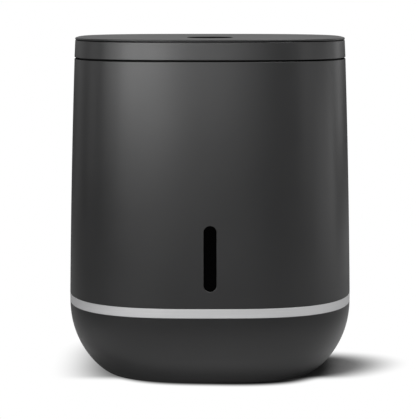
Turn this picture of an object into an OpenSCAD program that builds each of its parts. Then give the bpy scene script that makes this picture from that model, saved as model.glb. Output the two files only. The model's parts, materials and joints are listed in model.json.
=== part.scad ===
// Countertop electric food waste composter.
// The origin lies on the worktop under the middle of the machine, +Z is up and the front faces -Y.
// All sizes are millimetres.

/* [Body] */
// Width and depth of the body at its widest, at the band
body_size = 290; // [288:1:304]
// How square the plan is: 2 is a circle, higher is squarer
corner_power = 3; // [2.9:0.1:3.6]
// Height of the feet below the bowl
foot_h = 1.5; // [1:0.5:3]
// Height of the dark bowl under the band
bowl_h = 72.2; // [70:0.1:80]
// Draw-in of the bowl from the band to its flat underside
bowl_round = 36; // [30:1:38]
// Height of the silver band
band_h = 9.1; // [7:0.1:12]
// Height of the tall shell between the band and the seam
shell_h = 238; // [236:1:260]
// Straight part of the shell's draw-in at the seam
shell_taper = 4; // [2:0.1:4.6]
// Curved part of the shell's draw-in at the seam
shell_barrel = 2.7; // [1:0.1:3.2]
// Thickness of the outer walls
shell_wall = 2.6; // [2.2:0.1:3]

/* [Lid] */
// Height of the dark seam between the shell and the lid
seam_gap = 1.6; // [1.2:0.1:2.4]
// Height of the lid's side, up to the shadow gap
lid_side_h = 16.9; // [16:0.1:24]
// Draw-in of the lid's side at its top
lid_taper = 0.9; // [0:0.1:2]
// Height of the thin gap under the top plate
shadow_gap = 0.8; // [0.5:0.1:1.5]
// Thickness of the lid's top plate at its edge
top_plate_t = 1.9; // [1.5:0.1:3]
// Width of the grip recess in the lid
cup_w = 46; // [40:1:60]
// Length of the grip recess, front to back
cup_l = 75; // [65:1:90]
// Depth of the grip recess
cup_depth = 9; // [7:0.5:9.5]
// Radius of the start button's cap
button_r = 11; // [9:0.5:14]
// Travel of the start button
button_travel = 1.5; // [1:0.1:1.8]
// Depth of the lid's inner tray below the seam
tray_drop = 4.8; // [4:0.1:6]
// Width of the lid's gasket, on the bucket's rim
gasket_w = 5; // [3:0.5:5.5]

/* [Light slot] */
// Width of the slot in the front
slot_w = 12.1; // [10:0.1:16]
// Length of the slot, end to end
slot_l = 62.9; // [50:0.1:80]
// Height of the slot's lower end above the band
slot_rise = 18; // [14:0.1:30]
// Depth of the dark window behind the face of the shell
window_inset = 1; // [0.5:0.1:2]

/* [Bucket] */
// Room between the front of the body and the bucket, for the light and the heated liner
front_room = 23; // [22:0.5:30]
// Room under the heater plate, for its element and cut-outs
heater_room = 16.5; // [14:0.5:24]
// Thickness of the bucket's wall and floor
bucket_wall = 3; // [2.5:0.1:3.4]
// Width of the bucket's rim flange
flange_w = 7; // [6:0.1:8]
// Thickness of the bucket's rim flange
flange_t = 3; // [2.5:0.1:3.5]
// Distance of the bucket's axis forward of the middle
bucket_forward = 34; // [32:0.5:36]
// Reach of a grip lobe beyond the bucket's wall
lobe_reach = 21; // [16:1:24]
// Gap between the bucket and the heated liner
liner_gap = 3; // [2.5:0.5:4]

/* [Stirring] */
// Radius of the rotor's hub
hub_r = 11; // [10:0.5:14]
// Gap between the tips of the lower arms and the bucket's wall
arm_clearance = 4; // [3:0.5:8]
// Thickness of a rotor arm
arm_t = 11; // [8:0.5:12]
// Length of a breaker bar, inwards from the bucket's wall
breaker_l = 30; // [20:1:36]
// Radius of the output shaft
shaft_r = 6; // [5:0.5:7]

/* [Gear train] */
// Module of the last gear pair, at the output shaft
last_module = 1.5; // [1.4:0.05:1.5]
// Module of the middle gear pair
middle_module = 1; // [0.9:0.05:1.05]
// Module of the first gear pair, at the motor
first_module = 0.8; // [0.7:0.05:0.85]
// Teeth on every pinion
pinion_teeth = 12; // [11:1:13]
// Teeth on the output gear
last_teeth = 48; // [44:1:48]
// Teeth on the middle gear
middle_teeth = 50; // [46:1:52]
// Teeth on the first gear
first_teeth = 60; // [54:1:62]
// Width of the output gear's teeth
last_face = 10; // [8:0.5:10.5]
// Gap left beside each tooth at the pitch circle
gear_play = 0.15; // [0.1:0.01:0.25]
// Radius of the drive motor
motor_r = 25; // [20:0.5:26]
// Length of the drive motor's can
motor_l = 62; // [50:1:64]

/* [Air path] */
// Radius of the blower's scroll
blower_r = 38; // [34:0.5:40]
// Depth of the blower's scroll
blower_d = 30; // [24:1:31]
// Blades on the blower wheel
blade_count = 24; // [16:1:32]
// Width of the filter cassette
filter_w = 115; // [100:1:120]
// Depth of the filter cassette
filter_d = 45; // [40:0.5:46]
// Distance of the cassette's back face inside the back of the body
cap_inset = 16; // [14:0.5:20]
// Height of the blower's scroll above the chassis
blower_lift = 37.7; // [32:0.1:44]
// Slots in the filter's cap
cap_slots = 8; // [6:1:9]

/* [Fit] */
// Gap round pieces that fit in each other
fit_gap = 0.3; // [0.2:0.05:0.4]
// Radial gap of a shaft in its bush
bush_gap = 0.05; // [0.02:0.01:0.1]

/* [Hidden] */

$fn = 64;
plan_points = 72;
eps = 0.01;
far = 400;

// Heights, stacked from the worktop up
body_half = body_size / 2;
bowl_z = foot_h;
band_z = bowl_z + bowl_h;
shell_z = band_z + band_h;
seam_z = shell_z + shell_h;
lid_z = seam_z + seam_gap;
lid_top_z = lid_z + lid_side_h;
plate_z = lid_top_z + shadow_gap;
top_z = plate_z + top_plate_t;

// Places on the plan
bucket_y = -bucket_forward;
last_axes = last_module * (pinion_teeth + last_teeth) / 2;
middle_axes = middle_module * (pinion_teeth + middle_teeth) / 2;
first_axes = first_module * (pinion_teeth + first_teeth) / 2;
middle_gear_y = bucket_y + last_axes;
first_gear_y = middle_gear_y + middle_axes;
motor_y = first_gear_y + first_axes;
board_w = 124;
boss_spots = corners(board_w / 2 + 18, body_half - 59);
post_spots = corners(body_half - 50, body_half - 50);
foot_spots = corners(body_half - 75, body_half - 75);
lid_screw_spots = corners(body_half - 55, body_half - 55);

// Base
bowl_wall = 2.8;
bowl_floor = 3;
lip_h = 6;
lip_t = 2;
boss_r = 5.5;
foot_r = 11;
foot_stem_r = 3;
chassis_z = shell_z + 2.2;
chassis_t = 3;
chassis_top = chassis_z + chassis_t;
chassis_half = body_half - shell_wall - lip_t - 2 * fit_gap;
bowl_start = 2.1;
bowl_turn = 1.25;

// Screws, all M4 in the case and M3 in the lid
m4_r = 2;
m4_head_r = 3.6;
m4_head_h = 2.4;
m4_l = 12;
m3_r = 1.5;
m3_head_r = 2.9;
m3_head_h = 2;
m3_l = 10;

// Gearbox, from the chassis up
tray_wall = 2.4;
tray_floor = 3;
tray_z = chassis_top;
gear_z = tray_z + tray_floor + 1;
first_face = 6;
middle_face = 7;
layer_gap = 1.5;
middle_z = gear_z + first_face + layer_gap;
last_z = middle_z + middle_face + layer_gap;
cover_z = last_z + last_face + 1.5;
cover_t = 3;
cover_top = cover_z + cover_t;
last_r = last_module * last_teeth / 2;
tray_half_w = last_r + last_module + tray_wall + 2;
tray_front = bucket_y - tray_half_w;
tray_back = motor_y + 13;
gear_pin_r = 2.5;
bush_t = 3;
bush_r = shaft_r + bush_t;
motor_shaft_r = 1.6;
pressure = 25;

// Deck and bucket, from the seam down; the bucket fills the room in front and stands on the heater
deck_t = 3;
deck_top = seam_z - 13.8;
deck_z = deck_top - deck_t;
seal_t = 2;
flange_z = deck_top + seal_t;
rim_z = flange_z + flange_t;
bucket_r = body_half - front_room - bucket_forward;
bucket_out = bucket_r + bucket_wall;
bucket_corner = 8;
bush_hole = shaft_r + 6;
bush_flange_t = 1.6;
lobe_w = 44;

// Heated chamber
liner_r = bucket_out + liner_gap;
liner_t = 1.2;
liner_out = liner_r + liner_t;
liner_z = cover_top + 1;
jacket_t = 4;
jacket_gap = 0.2;
jacket_out = liner_out + jacket_gap + jacket_t;
heater_t = 6.5;
heater_z = liner_z + liner_t + heater_room;
heater_top = heater_z + heater_t;
heater_r = bucket_r - 6;
heater_leg_r = 4;
heater_leg_ring = heater_r - 8;
element_r = heater_r - 24;
element_tube = 3.5;
bucket_base = heater_top + fit_gap;
floor_z = bucket_base + bucket_wall;

// Rotor
hub_z = floor_z + bush_flange_t + 0.4;
hub_l = 62;
rotor_cap_h = 6;
socket_r = 5.4;
socket_l = 30;
low_arm_z = hub_z + 1;
breaker_z = low_arm_z + arm_t + 3;
breaker_t = 11;
high_arm_z = breaker_z + breaker_t + 3;
high_breaker_z = high_arm_z + arm_t + 3;

// Blower from the chassis up, and the filter between it and the deck
outlet_l = 8;
blower_z = chassis_top + blower_lift + blower_r;
filter_wall = 2;
housing_z = blower_z + blower_r + outlet_l;
filter_z = housing_z + filter_wall + fit_gap;
filter_top = deck_z - 8;
filter_h = filter_top - filter_z;
housing_top = filter_top + fit_gap + filter_wall;
cap_y = body_half - cap_inset;
filter_y = cap_y - filter_d;
housing_y = filter_y - fit_gap - filter_wall;
housing_back = cap_y - fit_gap;
cap_margin = 3.4;
cap_w = filter_w + 2 * cap_margin - 1;
opening_w = cap_w + 2 * 0.5;
cap_z = filter_z - cap_margin;
cap_top = filter_top + cap_margin;
blower_y = filter_y + 14;
blower_back = blower_y + blower_d;
blower_wall = 2;
blower_eye_r = 18;
wheel_r = blower_r - 5;
wheel_eye_r = 21;
fan_motor_r = 12;
fan_shaft_r = 1.5;
duct_w = 48;
duct_wall = 2;
duct_y = bucket_y + jacket_out + 0.6;
duct_back = housing_y - 0.6;
duct_low = blower_z - blower_eye_r - 4;
vent_w = 36;
vent_h = 18;
vent_z = deck_z - 48;
duct_high = vent_z + vent_h + 6;

// Mains inlet at the back of the bowl
inlet_z = 45;
inlet_w = 50;
inlet_h = 36;
inlet_face = body_half - 15;
inlet_rim = 2;
socket_w = 24;
socket_h = 16.6;
socket_depth = 17;
socket_bevel = 4;
inlet_front = inlet_face - socket_depth - 7;
pin_l = 14;
pin_w = 2;
pin_h = 4;
pin_spots = [[-7, -1], [7, -1], [0, 6]];

// Main board
board_y0 = -(body_half - 50);
board_y1 = motor_y - motor_r - 13.8;
board_y = (board_y0 + board_y1) / 2;
board_z = bowl_z + bowl_floor + 12;
board_t = 1.6;
board_top = board_z + board_t;
board_hole_x = board_w / 2 - 6;
board_holes = [for (x = [-1, 1]) for (y = [board_y0 + 6, board_y1 - 6]) [x * board_hole_x, y]];
tall_part_h = 32;
cap_part_h = 28;
cap_part_r = 9;
sink_part_h = 26;
relay_part_h = 15;
terminal_part_h = 11;
wire_r = 1.8;
standoff_r = 3;

// Light behind the slot
slot_z = shell_z + slot_rise;
slot_mid = slot_z + slot_l / 2;
slot_top = slot_z + slot_l;
window_t = 1.8;
window_seat = -(shell_half(slot_top) - shell_wall - fit_gap);
window_face = -(shell_half(slot_top) - window_inset);
window_back = window_seat + window_t;
window_lap = 2.5;
guide_t = 4;
guide_back = window_back + guide_t;
led_t = 1.2;
light_board_y = guide_back + led_t;

// Lid, from the seam up
tray_t = 2;
tray_low = seam_z - tray_drop;
tray_half = shell_half(seam_z) - shell_wall - 2.8;
tray_flange_z = lid_z + 0.6;
web_t = 2.4;
web_z = lid_top_z - web_t;
lid_wall = 2.4;
lid_boss_r = 4.5;
magnet_x = 80;
magnet_y = -(body_half - 36);
magnet_r = 5;
magnet_t = 3;
reed_l = 20;
reed_w = 6;
reed_t = 4;
gasket_gap = 1;
cup_y = -35.5;
cup_wall = 1.6;
cup_floor = top_z - cup_depth;
button_board_z = tray_low + tray_t + 2;
button_board_t = 1.6;
button_board_top = button_board_z + button_board_t;
button_flange_t = 1.8;
button_flange_z = cup_floor - cup_wall - 0.4 - button_flange_t;
button_top = cup_floor + 3.5;
button_stem_r = 2.2;
switch_h = 3.2;
switch_top = button_board_top + switch_h;
stem_low = switch_top + button_travel + 0.1;
spring_r = 7;
spring_wire = 0.5;
spring_turns = 3;

// Hinge: its axis lies in the middle of the seam, just behind the shell
hinge_z = seam_z + seam_gap / 2;
hinge_y = shell_half(seam_z) + 1.5;
knuckle_r = 4;
hinge_w = 72;
leaf_w = 40;
knuckle_gap = 0.4;
hinge_pin_r = 1.6;
steel_t = 1.6;
notch_w = hinge_w + 3;
notch_low = hinge_z - knuckle_r - 1.1;
notch_high = hinge_z + knuckle_r + 1.6;
bracket_y = tray_half + 0.4;

// The four points at these distances left and right, front and back
function corners(x, y) = [[x, y], [-x, y], [-x, -y], [x, -y]];

// Radius factor of the rounded-square plan in direction t
function lame(t) =
    pow(pow(abs(cos(t)), corner_power) + pow(abs(sin(t)), corner_power), -1 / corner_power);

// Points of the plan outline at a half width
function plan(half) =
    [for (i = [0:plan_points - 1]) let (t = 360 * i / plan_points) half * lame(t) * [cos(t), sin(t)]];

// Half width of the tall shell, the lid and the bowl at height z
function shell_half(z) =
    let (u = (z - shell_z) / shell_h) body_half - shell_taper * u - shell_barrel * u * u;
function lid_half(z) = shell_half(seam_z) - lid_taper * (z - lid_z) / lid_side_h;
function bowl_half(z) =
    let (t = min(1, max(0, (band_z - z) / bowl_h)))
    body_half - bowl_round * (1 - pow(max(0, 1 - pow(t, bowl_start)), 1 / bowl_turn));

// Inside of the bowl, a wall's thickness in from the outside also where the bowl slopes
function bowl_inner(z) = bowl_half(max(bowl_z, z - 0.6 * bowl_wall)) - 0.8 * bowl_wall;

// Heights in equal steps, and heights that crowd towards the low end
function steps(z0, z1, count) = [for (i = [0:count]) z0 + (z1 - z0) * i / count];
function crowded(z0, z1, count) = [for (i = [0:count]) z0 + (z1 - z0) * pow(i / count, 2)];

function at_height(points, z) = [for (p = points) [p[0], p[1], z]];
function unit(v) = v / norm(v);

// Skin over a list of point rings, each running anticlockwise seen from where the list ends
module loft(rings, closed = false) {
    n = len(rings[0]);
    m = len(rings);
    skin = [for (r = [0:closed ? m - 1 : m - 2]) for (i = [0:n - 1])
        let (j = (i + 1) % n, s = (r + 1) % m)
        each [[r * n + i, s * n + i, s * n + j], [r * n + i, s * n + j, r * n + j]]];
    caps = closed ? [] : [[for (i = [0:n - 1]) i], [for (i = [n - 1:-1:0]) (m - 1) * n + i]];
    polyhedron(points = [for (ring = rings) each ring], faces = concat(skin, caps), convexity = 8);
}

// Ring round the plan; the profile's points are [half width, z], up the outside and down the inside
module plan_ring(profile) {
    loft([for (p = profile) at_height(plan(p[0]), p[1])], closed = true);
}

// Solid stacked from plan outlines, each [half width, z], from the bottom up
module plan_solid(levels) {
    loft([for (p = levels) at_height(plan(p[0]), p[1])]);
}

// Flat plate with the plan's outline
module plan_plate(half, z0, z1) {
    translate([0, 0, z0])
        linear_extrude(z1 - z0) polygon(plan(half));
}

// Round tube along a path of points; up is never along the path
module tube_run(path, r, sides, up) {
    last = len(path) - 1;
    loft([for (i = [0:last])
        let (
            t = unit(path[min(i + 1, last)] - path[max(i - 1, 0)]),
            side = unit(cross(up, t)),
            over = cross(t, side))
        [for (k = [0:sides - 1])
            let (a = 360 * k / sides) path[i] + r * (cos(a) * side + sin(a) * over)]]);
}

// Extrudes an outline drawn in X and Z from y0 to y1
module slab_y(y0, y1) {
    translate([0, y1, 0])
        rotate([90, 0, 0]) linear_extrude(y1 - y0) children();
}

module rod(x, y, z0, z1, r) {
    translate([x, y, z0]) cylinder(r = r, h = z1 - z0);
}

module pipe(x, y, z0, z1, outer, inner) {
    difference() {
        rod(x, y, z0, z1, outer);
        rod(x, y, z0 - 1, z1 + 1, inner);
    }
}

module box(x, y, z) {
    translate([x[0], y[0], z[0]]) cube([x[1] - x[0], y[1] - y[0], z[1] - z[0]]);
}

module rounded_rect(w, d, r) {
    square([w - 2 * r, d], center = true);
    square([w, d - 2 * r], center = true);
    for (x = [-1, 1], y = [-1, 1])
        translate([x * (w / 2 - r), y * (d / 2 - r)]) circle(r);
}

// Upright outline with full round ends
module stadium(w, l) {
    square([w, l - w], center = true);
    for (y = [-1, 1])
        translate([0, y * (l - w) / 2]) circle(w / 2);
}

// Screw with a pan head that rests on z and a shank that runs down from it
module screw(spot, z, r, length, head_r, head_h) {
    rod(spot[0], spot[1], z - length, z + eps, r);
    rod(spot[0], spot[1], z, z + head_h, head_r);
}

// Half angle of a tooth at radius r
function involute_angle(base, r) =
    let (a = acos(min(1, base / r))) tan(a) * 180 / PI - a;
function tooth_half(teeth, size, r) =
    let (pitch = size * teeth / 2, base = pitch * cos(pressure))
    90 / teeth - gear_play / 2 / pitch * 180 / PI
        + involute_angle(base, pitch) - involute_angle(base, max(r, base));

// Outline of a spur gear; one tooth points along the direction tooth_at
function gear_outline(teeth, size, tooth_at) =
    let (
        pitch = size * teeth / 2,
        root = pitch - 1.1 * size,
        flank = max(pitch * cos(pressure), pitch - 1.05 * size),
        radii = [root, flank, pitch, pitch + 0.8 * size])
    [for (k = [0:teeth - 1])
        let (middle = tooth_at + 360 * k / teeth)
        each concat(
            [for (r = radii) let (a = middle - tooth_half(teeth, size, r)) r * [cos(a), sin(a)]],
            [for (i = [3:-1:0])
                let (r = radii[i], a = middle + tooth_half(teeth, size, r)) r * [cos(a), sin(a)]])];

module gear(y, z0, z1, teeth, size, tooth_at) {
    translate([0, y, z0])
        linear_extrude(z1 - z0) polygon(gear_outline(teeth, size, tooth_at));
}

// Every gear's tooth at 90 degrees meets a gap of the pinion behind it
gap_at_270 = 270 + 180 / pinion_teeth;

// Tall outer shell with the light slot, the filter opening and the hinge notch
module outer_shell() color([0.21, 0.21, 0.215]) {
    difference() {
        plan_ring(concat(
            [for (z = steps(shell_z, seam_z, 8)) [shell_half(z), z]],
            [for (z = steps(seam_z, shell_z, 4)) [shell_half(z) - shell_wall, z]]));
        slab_y(-far, 0) translate([0, slot_mid]) stadium(slot_w, slot_l);
        box([-opening_w / 2, opening_w / 2], [cap_y, far], [cap_z - 0.5, cap_top + 0.5]);
        box([-notch_w / 2, notch_w / 2], [hinge_y - 20, far], [notch_low, seam_z + 1]);
    }
}

// Satin metal band, flush between the bowl and the shell
module trim_band() color([0.68, 0.68, 0.69])
    plan_ring([[body_half, band_z], [body_half, shell_z],
        [body_half - shell_wall, shell_z], [body_half - shell_wall, band_z]]);

// Dark bowl with a locating lip, chassis bosses and the inlet's cut-out
module base_bowl() color([0.16, 0.16, 0.165]) {
    lip_out = body_half - shell_wall - fit_gap;
    difference() {
        union() {
            plan_ring(concat(
                [for (z = crowded(bowl_z, band_z, 10)) [bowl_half(z), z]],
                [[lip_out, band_z], [lip_out, shell_z + lip_h], [lip_out - lip_t, shell_z + lip_h],
                    [lip_out - lip_t, band_z - 4]],
                [for (z = steps(band_z - 12, bowl_z + bowl_floor, 5)) [bowl_inner(z), z]],
                [[bowl_half(bowl_z) - 9, bowl_z + bowl_floor], [bowl_half(bowl_z) - 9, bowl_z]]));
            plan_plate(bowl_half(bowl_z) - 8, bowl_z, bowl_z + bowl_floor);
            for (spot = boss_spots)
                rod(spot[0], spot[1], bowl_z + 1, chassis_z, boss_r);
        }
        for (spot = boss_spots)
            rod(spot[0], spot[1], chassis_z - m4_l, far, m4_r + eps);
        for (spot = foot_spots)
            rod(spot[0], spot[1], -1, bowl_z + bowl_floor + 1, foot_stem_r);
        for (spot = board_holes)
            rod(spot[0], spot[1], bowl_z - 1, bowl_z + bowl_floor + 1, m3_r);
        for (i = [-4:4])
            translate([0, i * 9 - 30, 0])
                linear_extrude(20) rotate(90) stadium(3, 60);
        box([-inlet_w / 2, inlet_w / 2], [inlet_face - 4, far],
            [inlet_z - inlet_h / 2, inlet_z + inlet_h / 2]);
    }
}

// Four pads with stems pushed through the bowl's floor
module rubber_feet() color([0.07, 0.07, 0.07])
    for (spot = foot_spots) {
        rod(spot[0], spot[1], 0, bowl_z, foot_r);
        rod(spot[0], spot[1], bowl_z - eps, bowl_z + bowl_floor + eps, foot_stem_r);
        rod(spot[0], spot[1], bowl_z + bowl_floor, bowl_z + bowl_floor + 1.5, foot_stem_r + 0.8);
    }

module chassis_plate() color([0.62, 0.63, 0.65])
    difference() {
        plan_plate(chassis_half, chassis_z, chassis_top);
        for (spot = boss_spots)
            rod(spot[0], spot[1], chassis_z - 1, far, m4_r + fit_gap);
        rod(0, motor_y, chassis_z - 1, far, 9);
        rod(0, bucket_y, chassis_z - 1, far, bush_r + 1);
        box([-12, 12], [-far, -chassis_half + 16], [chassis_z - 1, far]);
    }

// Four pillars that carry the deck
module deck_posts() color([0.7, 0.7, 0.72])
    for (spot = post_spots)
        difference() {
            rod(spot[0], spot[1], chassis_top, deck_z, 5);
            rod(spot[0], spot[1], deck_top - m4_l - 1, far, m4_r + eps);
        }

// Deck under the lid: bucket hole, finger pockets under the grip lobes, and a notch for the hinge
module deck_collar() color([0.13, 0.13, 0.135])
    difference() {
        plan_plate(shell_half(deck_top) - shell_wall - fit_gap, deck_z, deck_top);
        rod(0, bucket_y, deck_z - 1, far, liner_r - 0.5);
        for (side = [-1, 1])
            translate([side * (liner_out + 12), bucket_y, deck_z - 1])
                linear_extrude(20) rounded_rect(14, lobe_w - 6, 5);
        for (spot = post_spots)
            rod(spot[0], spot[1], deck_z - 1, far, m4_r + fit_gap);
        box([-hinge_w / 2 - 1, hinge_w / 2 + 1], [bracket_y - fit_gap, far], [deck_z - 1, far]);
    }

module case_screws() color([0.75, 0.75, 0.76]) {
    for (spot = boss_spots)
        screw(spot, chassis_top, m4_r, m4_l, m4_head_r, m4_head_h);
    for (spot = post_spots)
        screw(spot, deck_top, m4_r, m4_l, m4_head_r, m4_head_h);
}

// Flat silicone ring under the bucket's flange
module bucket_seal() color([0.35, 0.35, 0.36])
    pipe(0, bucket_y, deck_top, flange_z, bucket_out + flange_w - 0.5, liner_r - 0.5);

// Sheet-metal can round the bucket, open at the top, with a vent at the back
module chamber_liner() color([0.72, 0.73, 0.75])
    difference() {
        rod(0, bucket_y, liner_z, deck_z, liner_out);
        rod(0, bucket_y, liner_z + liner_t, far, liner_r);
        rod(0, bucket_y, liner_z - 1, far, bush_r + 3);
        box([-vent_w / 2, vent_w / 2], [bucket_y, far], [vent_z, vent_z + vent_h]);
    }

// Felt wrap, left open at the front for the light and at the back for the vent
module insulation_jacket() color([0.82, 0.8, 0.74])
    difference() {
        pipe(0, bucket_y, liner_z + 2, deck_z - 6, jacket_out, liner_out + jacket_gap);
        box([-24, 24], [-far, bucket_y], [0, far]);
        box([-duct_w / 2, duct_w / 2], [bucket_y, far], [vent_z - 5, vent_z + vent_h + 7]);
    }

// Cast heater plate on three legs
module heater_plate() color([0.66, 0.66, 0.68])
    difference() {
        union() {
            rod(0, bucket_y, heater_z, heater_top, heater_r);
            for (a = [30, 150, 270])
                rod(heater_leg_ring * cos(a), bucket_y + heater_leg_ring * sin(a),
                    liner_z + liner_t, heater_z + eps, heater_leg_r);
        }
        rod(0, bucket_y, heater_z - 1, far, bush_hole + 4);
    }

module heater_element() color([0.5, 0.42, 0.36])
    difference() {
        translate([0, bucket_y, heater_z - element_tube])
            rotate_extrude() translate([element_r, 0]) circle(element_tube, $fn = 24);
        box([-4, 4], [bucket_y, far], [0, far]);
    }

// Bimetal thermostat and the thermal fuse beside it, both against the heater plate
module thermal_cutouts() color([0.86, 0.86, 0.88]) {
    rod(34, bucket_y, heater_z - 6, heater_z, 8);
    translate([-40, bucket_y, heater_z - 3])
        rotate([0, 90, 0]) cylinder(r = 3, h = 14);
}

// Removable bucket with two grip lobes on its rim
module bucket() color([0.3, 0.3, 0.31])
    translate([0, bucket_y, 0]) {
        rotate_extrude($fn = 96) polygon([
            [bush_hole, bucket_base], [bucket_out - bucket_corner, bucket_base],
            [bucket_out - bucket_corner * 0.3, bucket_base + bucket_corner * 0.3],
            [bucket_out, bucket_base + bucket_corner], [bucket_out, flange_z],
            [bucket_out + flange_w, flange_z], [bucket_out + flange_w, rim_z], [bucket_r, rim_z],
            [bucket_r, floor_z + bucket_corner - 2],
            [bucket_r - bucket_corner * 0.24, floor_z + bucket_corner * 0.24],
            [bucket_r - bucket_corner + 2, floor_z], [bush_hole, floor_z]]);
        for (side = [-1, 1])
            translate([side * (bucket_r + bucket_wall / 2 + lobe_reach / 2), 0, flange_z])
                linear_extrude(flange_t) rounded_rect(lobe_reach, lobe_w, 6);
    }

// Fixed bars on the bucket's wall that the arms pass
module breaker_bars() color([0.72, 0.72, 0.74])
    intersection() {
        rod(0, bucket_y, 0, far, bucket_r);
        union() {
            for (a = [30, 150, 270])
                breaker_bar(a, breaker_z);
            for (a = [90, 210, 330])
                breaker_bar(a, high_breaker_z);
        }
    }

module breaker_bar(a, z) {
    translate([0, bucket_y, z]) rotate(a)
        linear_extrude(breaker_t) polygon([[bucket_r - breaker_l, -4], [bucket_r + 1, -9],
            [bucket_r + 1, 9], [bucket_r - breaker_l, 4]]);
}

// Seal bush in the bucket's floor, round the drive shaft
module bucket_bush() color([0.85, 0.84, 0.8]) {
    pipe(0, bucket_y, bucket_base, floor_z + eps, bush_hole, shaft_r + fit_gap);
    pipe(0, bucket_y, floor_z, floor_z + bush_flange_t, bush_hole + 4, shaft_r + fit_gap);
}

// Lower half of the gearbox
module gearbox_tray() color([0.2, 0.22, 0.25]) {
    depth = tray_back - tray_front;
    middle = (tray_back + tray_front) / 2;
    difference() {
        translate([0, middle, tray_z])
            linear_extrude(cover_z - tray_z) rounded_rect(2 * tray_half_w, depth, 10);
        translate([0, middle, tray_z + tray_floor])
            linear_extrude(far)
                rounded_rect(2 * (tray_half_w - tray_wall), depth - 2 * tray_wall, 8);
        rod(0, bucket_y, tray_z - 1, far, bush_r);
        rod(0, middle_gear_y, tray_z - 1, far, gear_pin_r);
        rod(0, first_gear_y, tray_z - 1, far, gear_pin_r);
        rod(0, motor_y, tray_z - 1, far, 8);
    }
}

module gearbox_cover() color([0.24, 0.26, 0.29]) {
    depth = tray_back - tray_front;
    middle = (tray_back + tray_front) / 2;
    difference() {
        translate([0, middle, cover_z])
            linear_extrude(cover_t) rounded_rect(2 * tray_half_w, depth, 10);
        rod(0, bucket_y, cover_z - 1, far, bush_r);
        rod(0, middle_gear_y, cover_z - 1, far, gear_pin_r);
        rod(0, first_gear_y, cover_z - 1, far, gear_pin_r);
    }
}

// Fixed pins that the two compound gears turn on
module gear_pins() color([0.8, 0.8, 0.82])
    for (y = [middle_gear_y, first_gear_y])
        rod(0, y, tray_z, cover_top, gear_pin_r);

// Bushes of the output shaft in the tray and in the cover
module output_bushes() color([0.72, 0.56, 0.3]) {
    pipe(0, bucket_y, tray_z, tray_z + tray_floor, bush_r, shaft_r + bush_gap);
    pipe(0, bucket_y, cover_z, cover_top, bush_r, shaft_r + bush_gap);
}

// Geared motor's can with its front boss
module drive_motor() color([0.55, 0.56, 0.58])
    difference() {
        union() {
            rod(0, motor_y, chassis_z - motor_l, chassis_z, motor_r);
            rod(0, motor_y, chassis_z - eps, tray_z + tray_floor, 7.5);
            rod(0, motor_y, chassis_z - motor_l - 5, chassis_z - motor_l + eps, 8);
        }
        rod(0, motor_y, chassis_z - 24, far, motor_shaft_r + bush_gap);
    }

// Scroll housing with its inlet eye, outlet and foot
module blower_housing() color([0.12, 0.12, 0.125])
    difference() {
        union() {
            slab_y(blower_y, blower_back) translate([0, blower_z]) circle(blower_r);
            box([4, blower_r], [blower_y, blower_back], [blower_z, housing_z]);
            box([-20, 20], [blower_y + 4, blower_back - 4], [chassis_top, blower_z - blower_r + 6]);
        }
        slab_y(blower_y + blower_wall, blower_back - blower_wall)
            translate([0, blower_z]) circle(blower_r - blower_wall);
        box([4 + blower_wall, blower_r - blower_wall],
            [blower_y + blower_wall, blower_back - blower_wall], [blower_z, far]);
        slab_y(0, blower_y + 10) translate([0, blower_z]) circle(blower_eye_r);
        slab_y(blower_back - 10, far) translate([0, blower_z]) circle(fan_motor_r);
    }

module blower_motor() color([0.4, 0.41, 0.43])
    slab_y(blower_back - 6, blower_back + 5)
        difference() {
            translate([0, blower_z]) circle(fan_motor_r);
            translate([0, blower_z]) circle(fan_shaft_r + bush_gap);
        }

// Channel from the vent at the back of the chamber down to the blower's eye
module suction_duct() color([0.14, 0.14, 0.145])
    difference() {
        union() {
            box([-duct_w / 2, duct_w / 2], [duct_y, duct_back], [duct_low, duct_high]);
            box([-vent_w / 2 - 2, vent_w / 2 + 2], [duct_y - 14, duct_y + 1],
                [vent_z - 2, vent_z + vent_h + 2]);
            slab_y(duct_back - 1, blower_y) translate([0, blower_z]) circle(blower_eye_r + duct_wall);
        }
        box([-duct_w / 2 + duct_wall, duct_w / 2 - duct_wall],
            [duct_y + duct_wall, duct_back - duct_wall],
            [duct_low + duct_wall, duct_high - duct_wall]);
        box([-vent_w / 2, vent_w / 2], [0, duct_y + duct_wall + 1], [vent_z, vent_z + vent_h]);
        slab_y(duct_back - duct_wall - 1, far) translate([0, blower_z]) circle(blower_eye_r);
        rod(0, bucket_y, 0, far, liner_out);
    }

// Box that guides the cassette, open at the back, hung from the deck by two tabs
module filter_housing() color([0.15, 0.15, 0.155]) {
    inner = filter_w / 2 + fit_gap;
    outer = inner + filter_wall;
    difference() {
        union() {
            box([-outer, outer], [housing_y, housing_back], [housing_z, housing_top]);
            for (side = [-1, 1])
                box([side * 46 - 5, side * 46 + 5], [housing_y, housing_y + 12],
                    [housing_top - eps, deck_z]);
        }
        box([-inner, inner], [housing_y + filter_wall, far],
            [housing_z + filter_wall, housing_top - filter_wall]);
        box([4 + blower_wall, blower_r - blower_wall],
            [blower_y + blower_wall, blower_back - blower_wall], [0, housing_z + filter_wall + 1]);
    }
}

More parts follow.
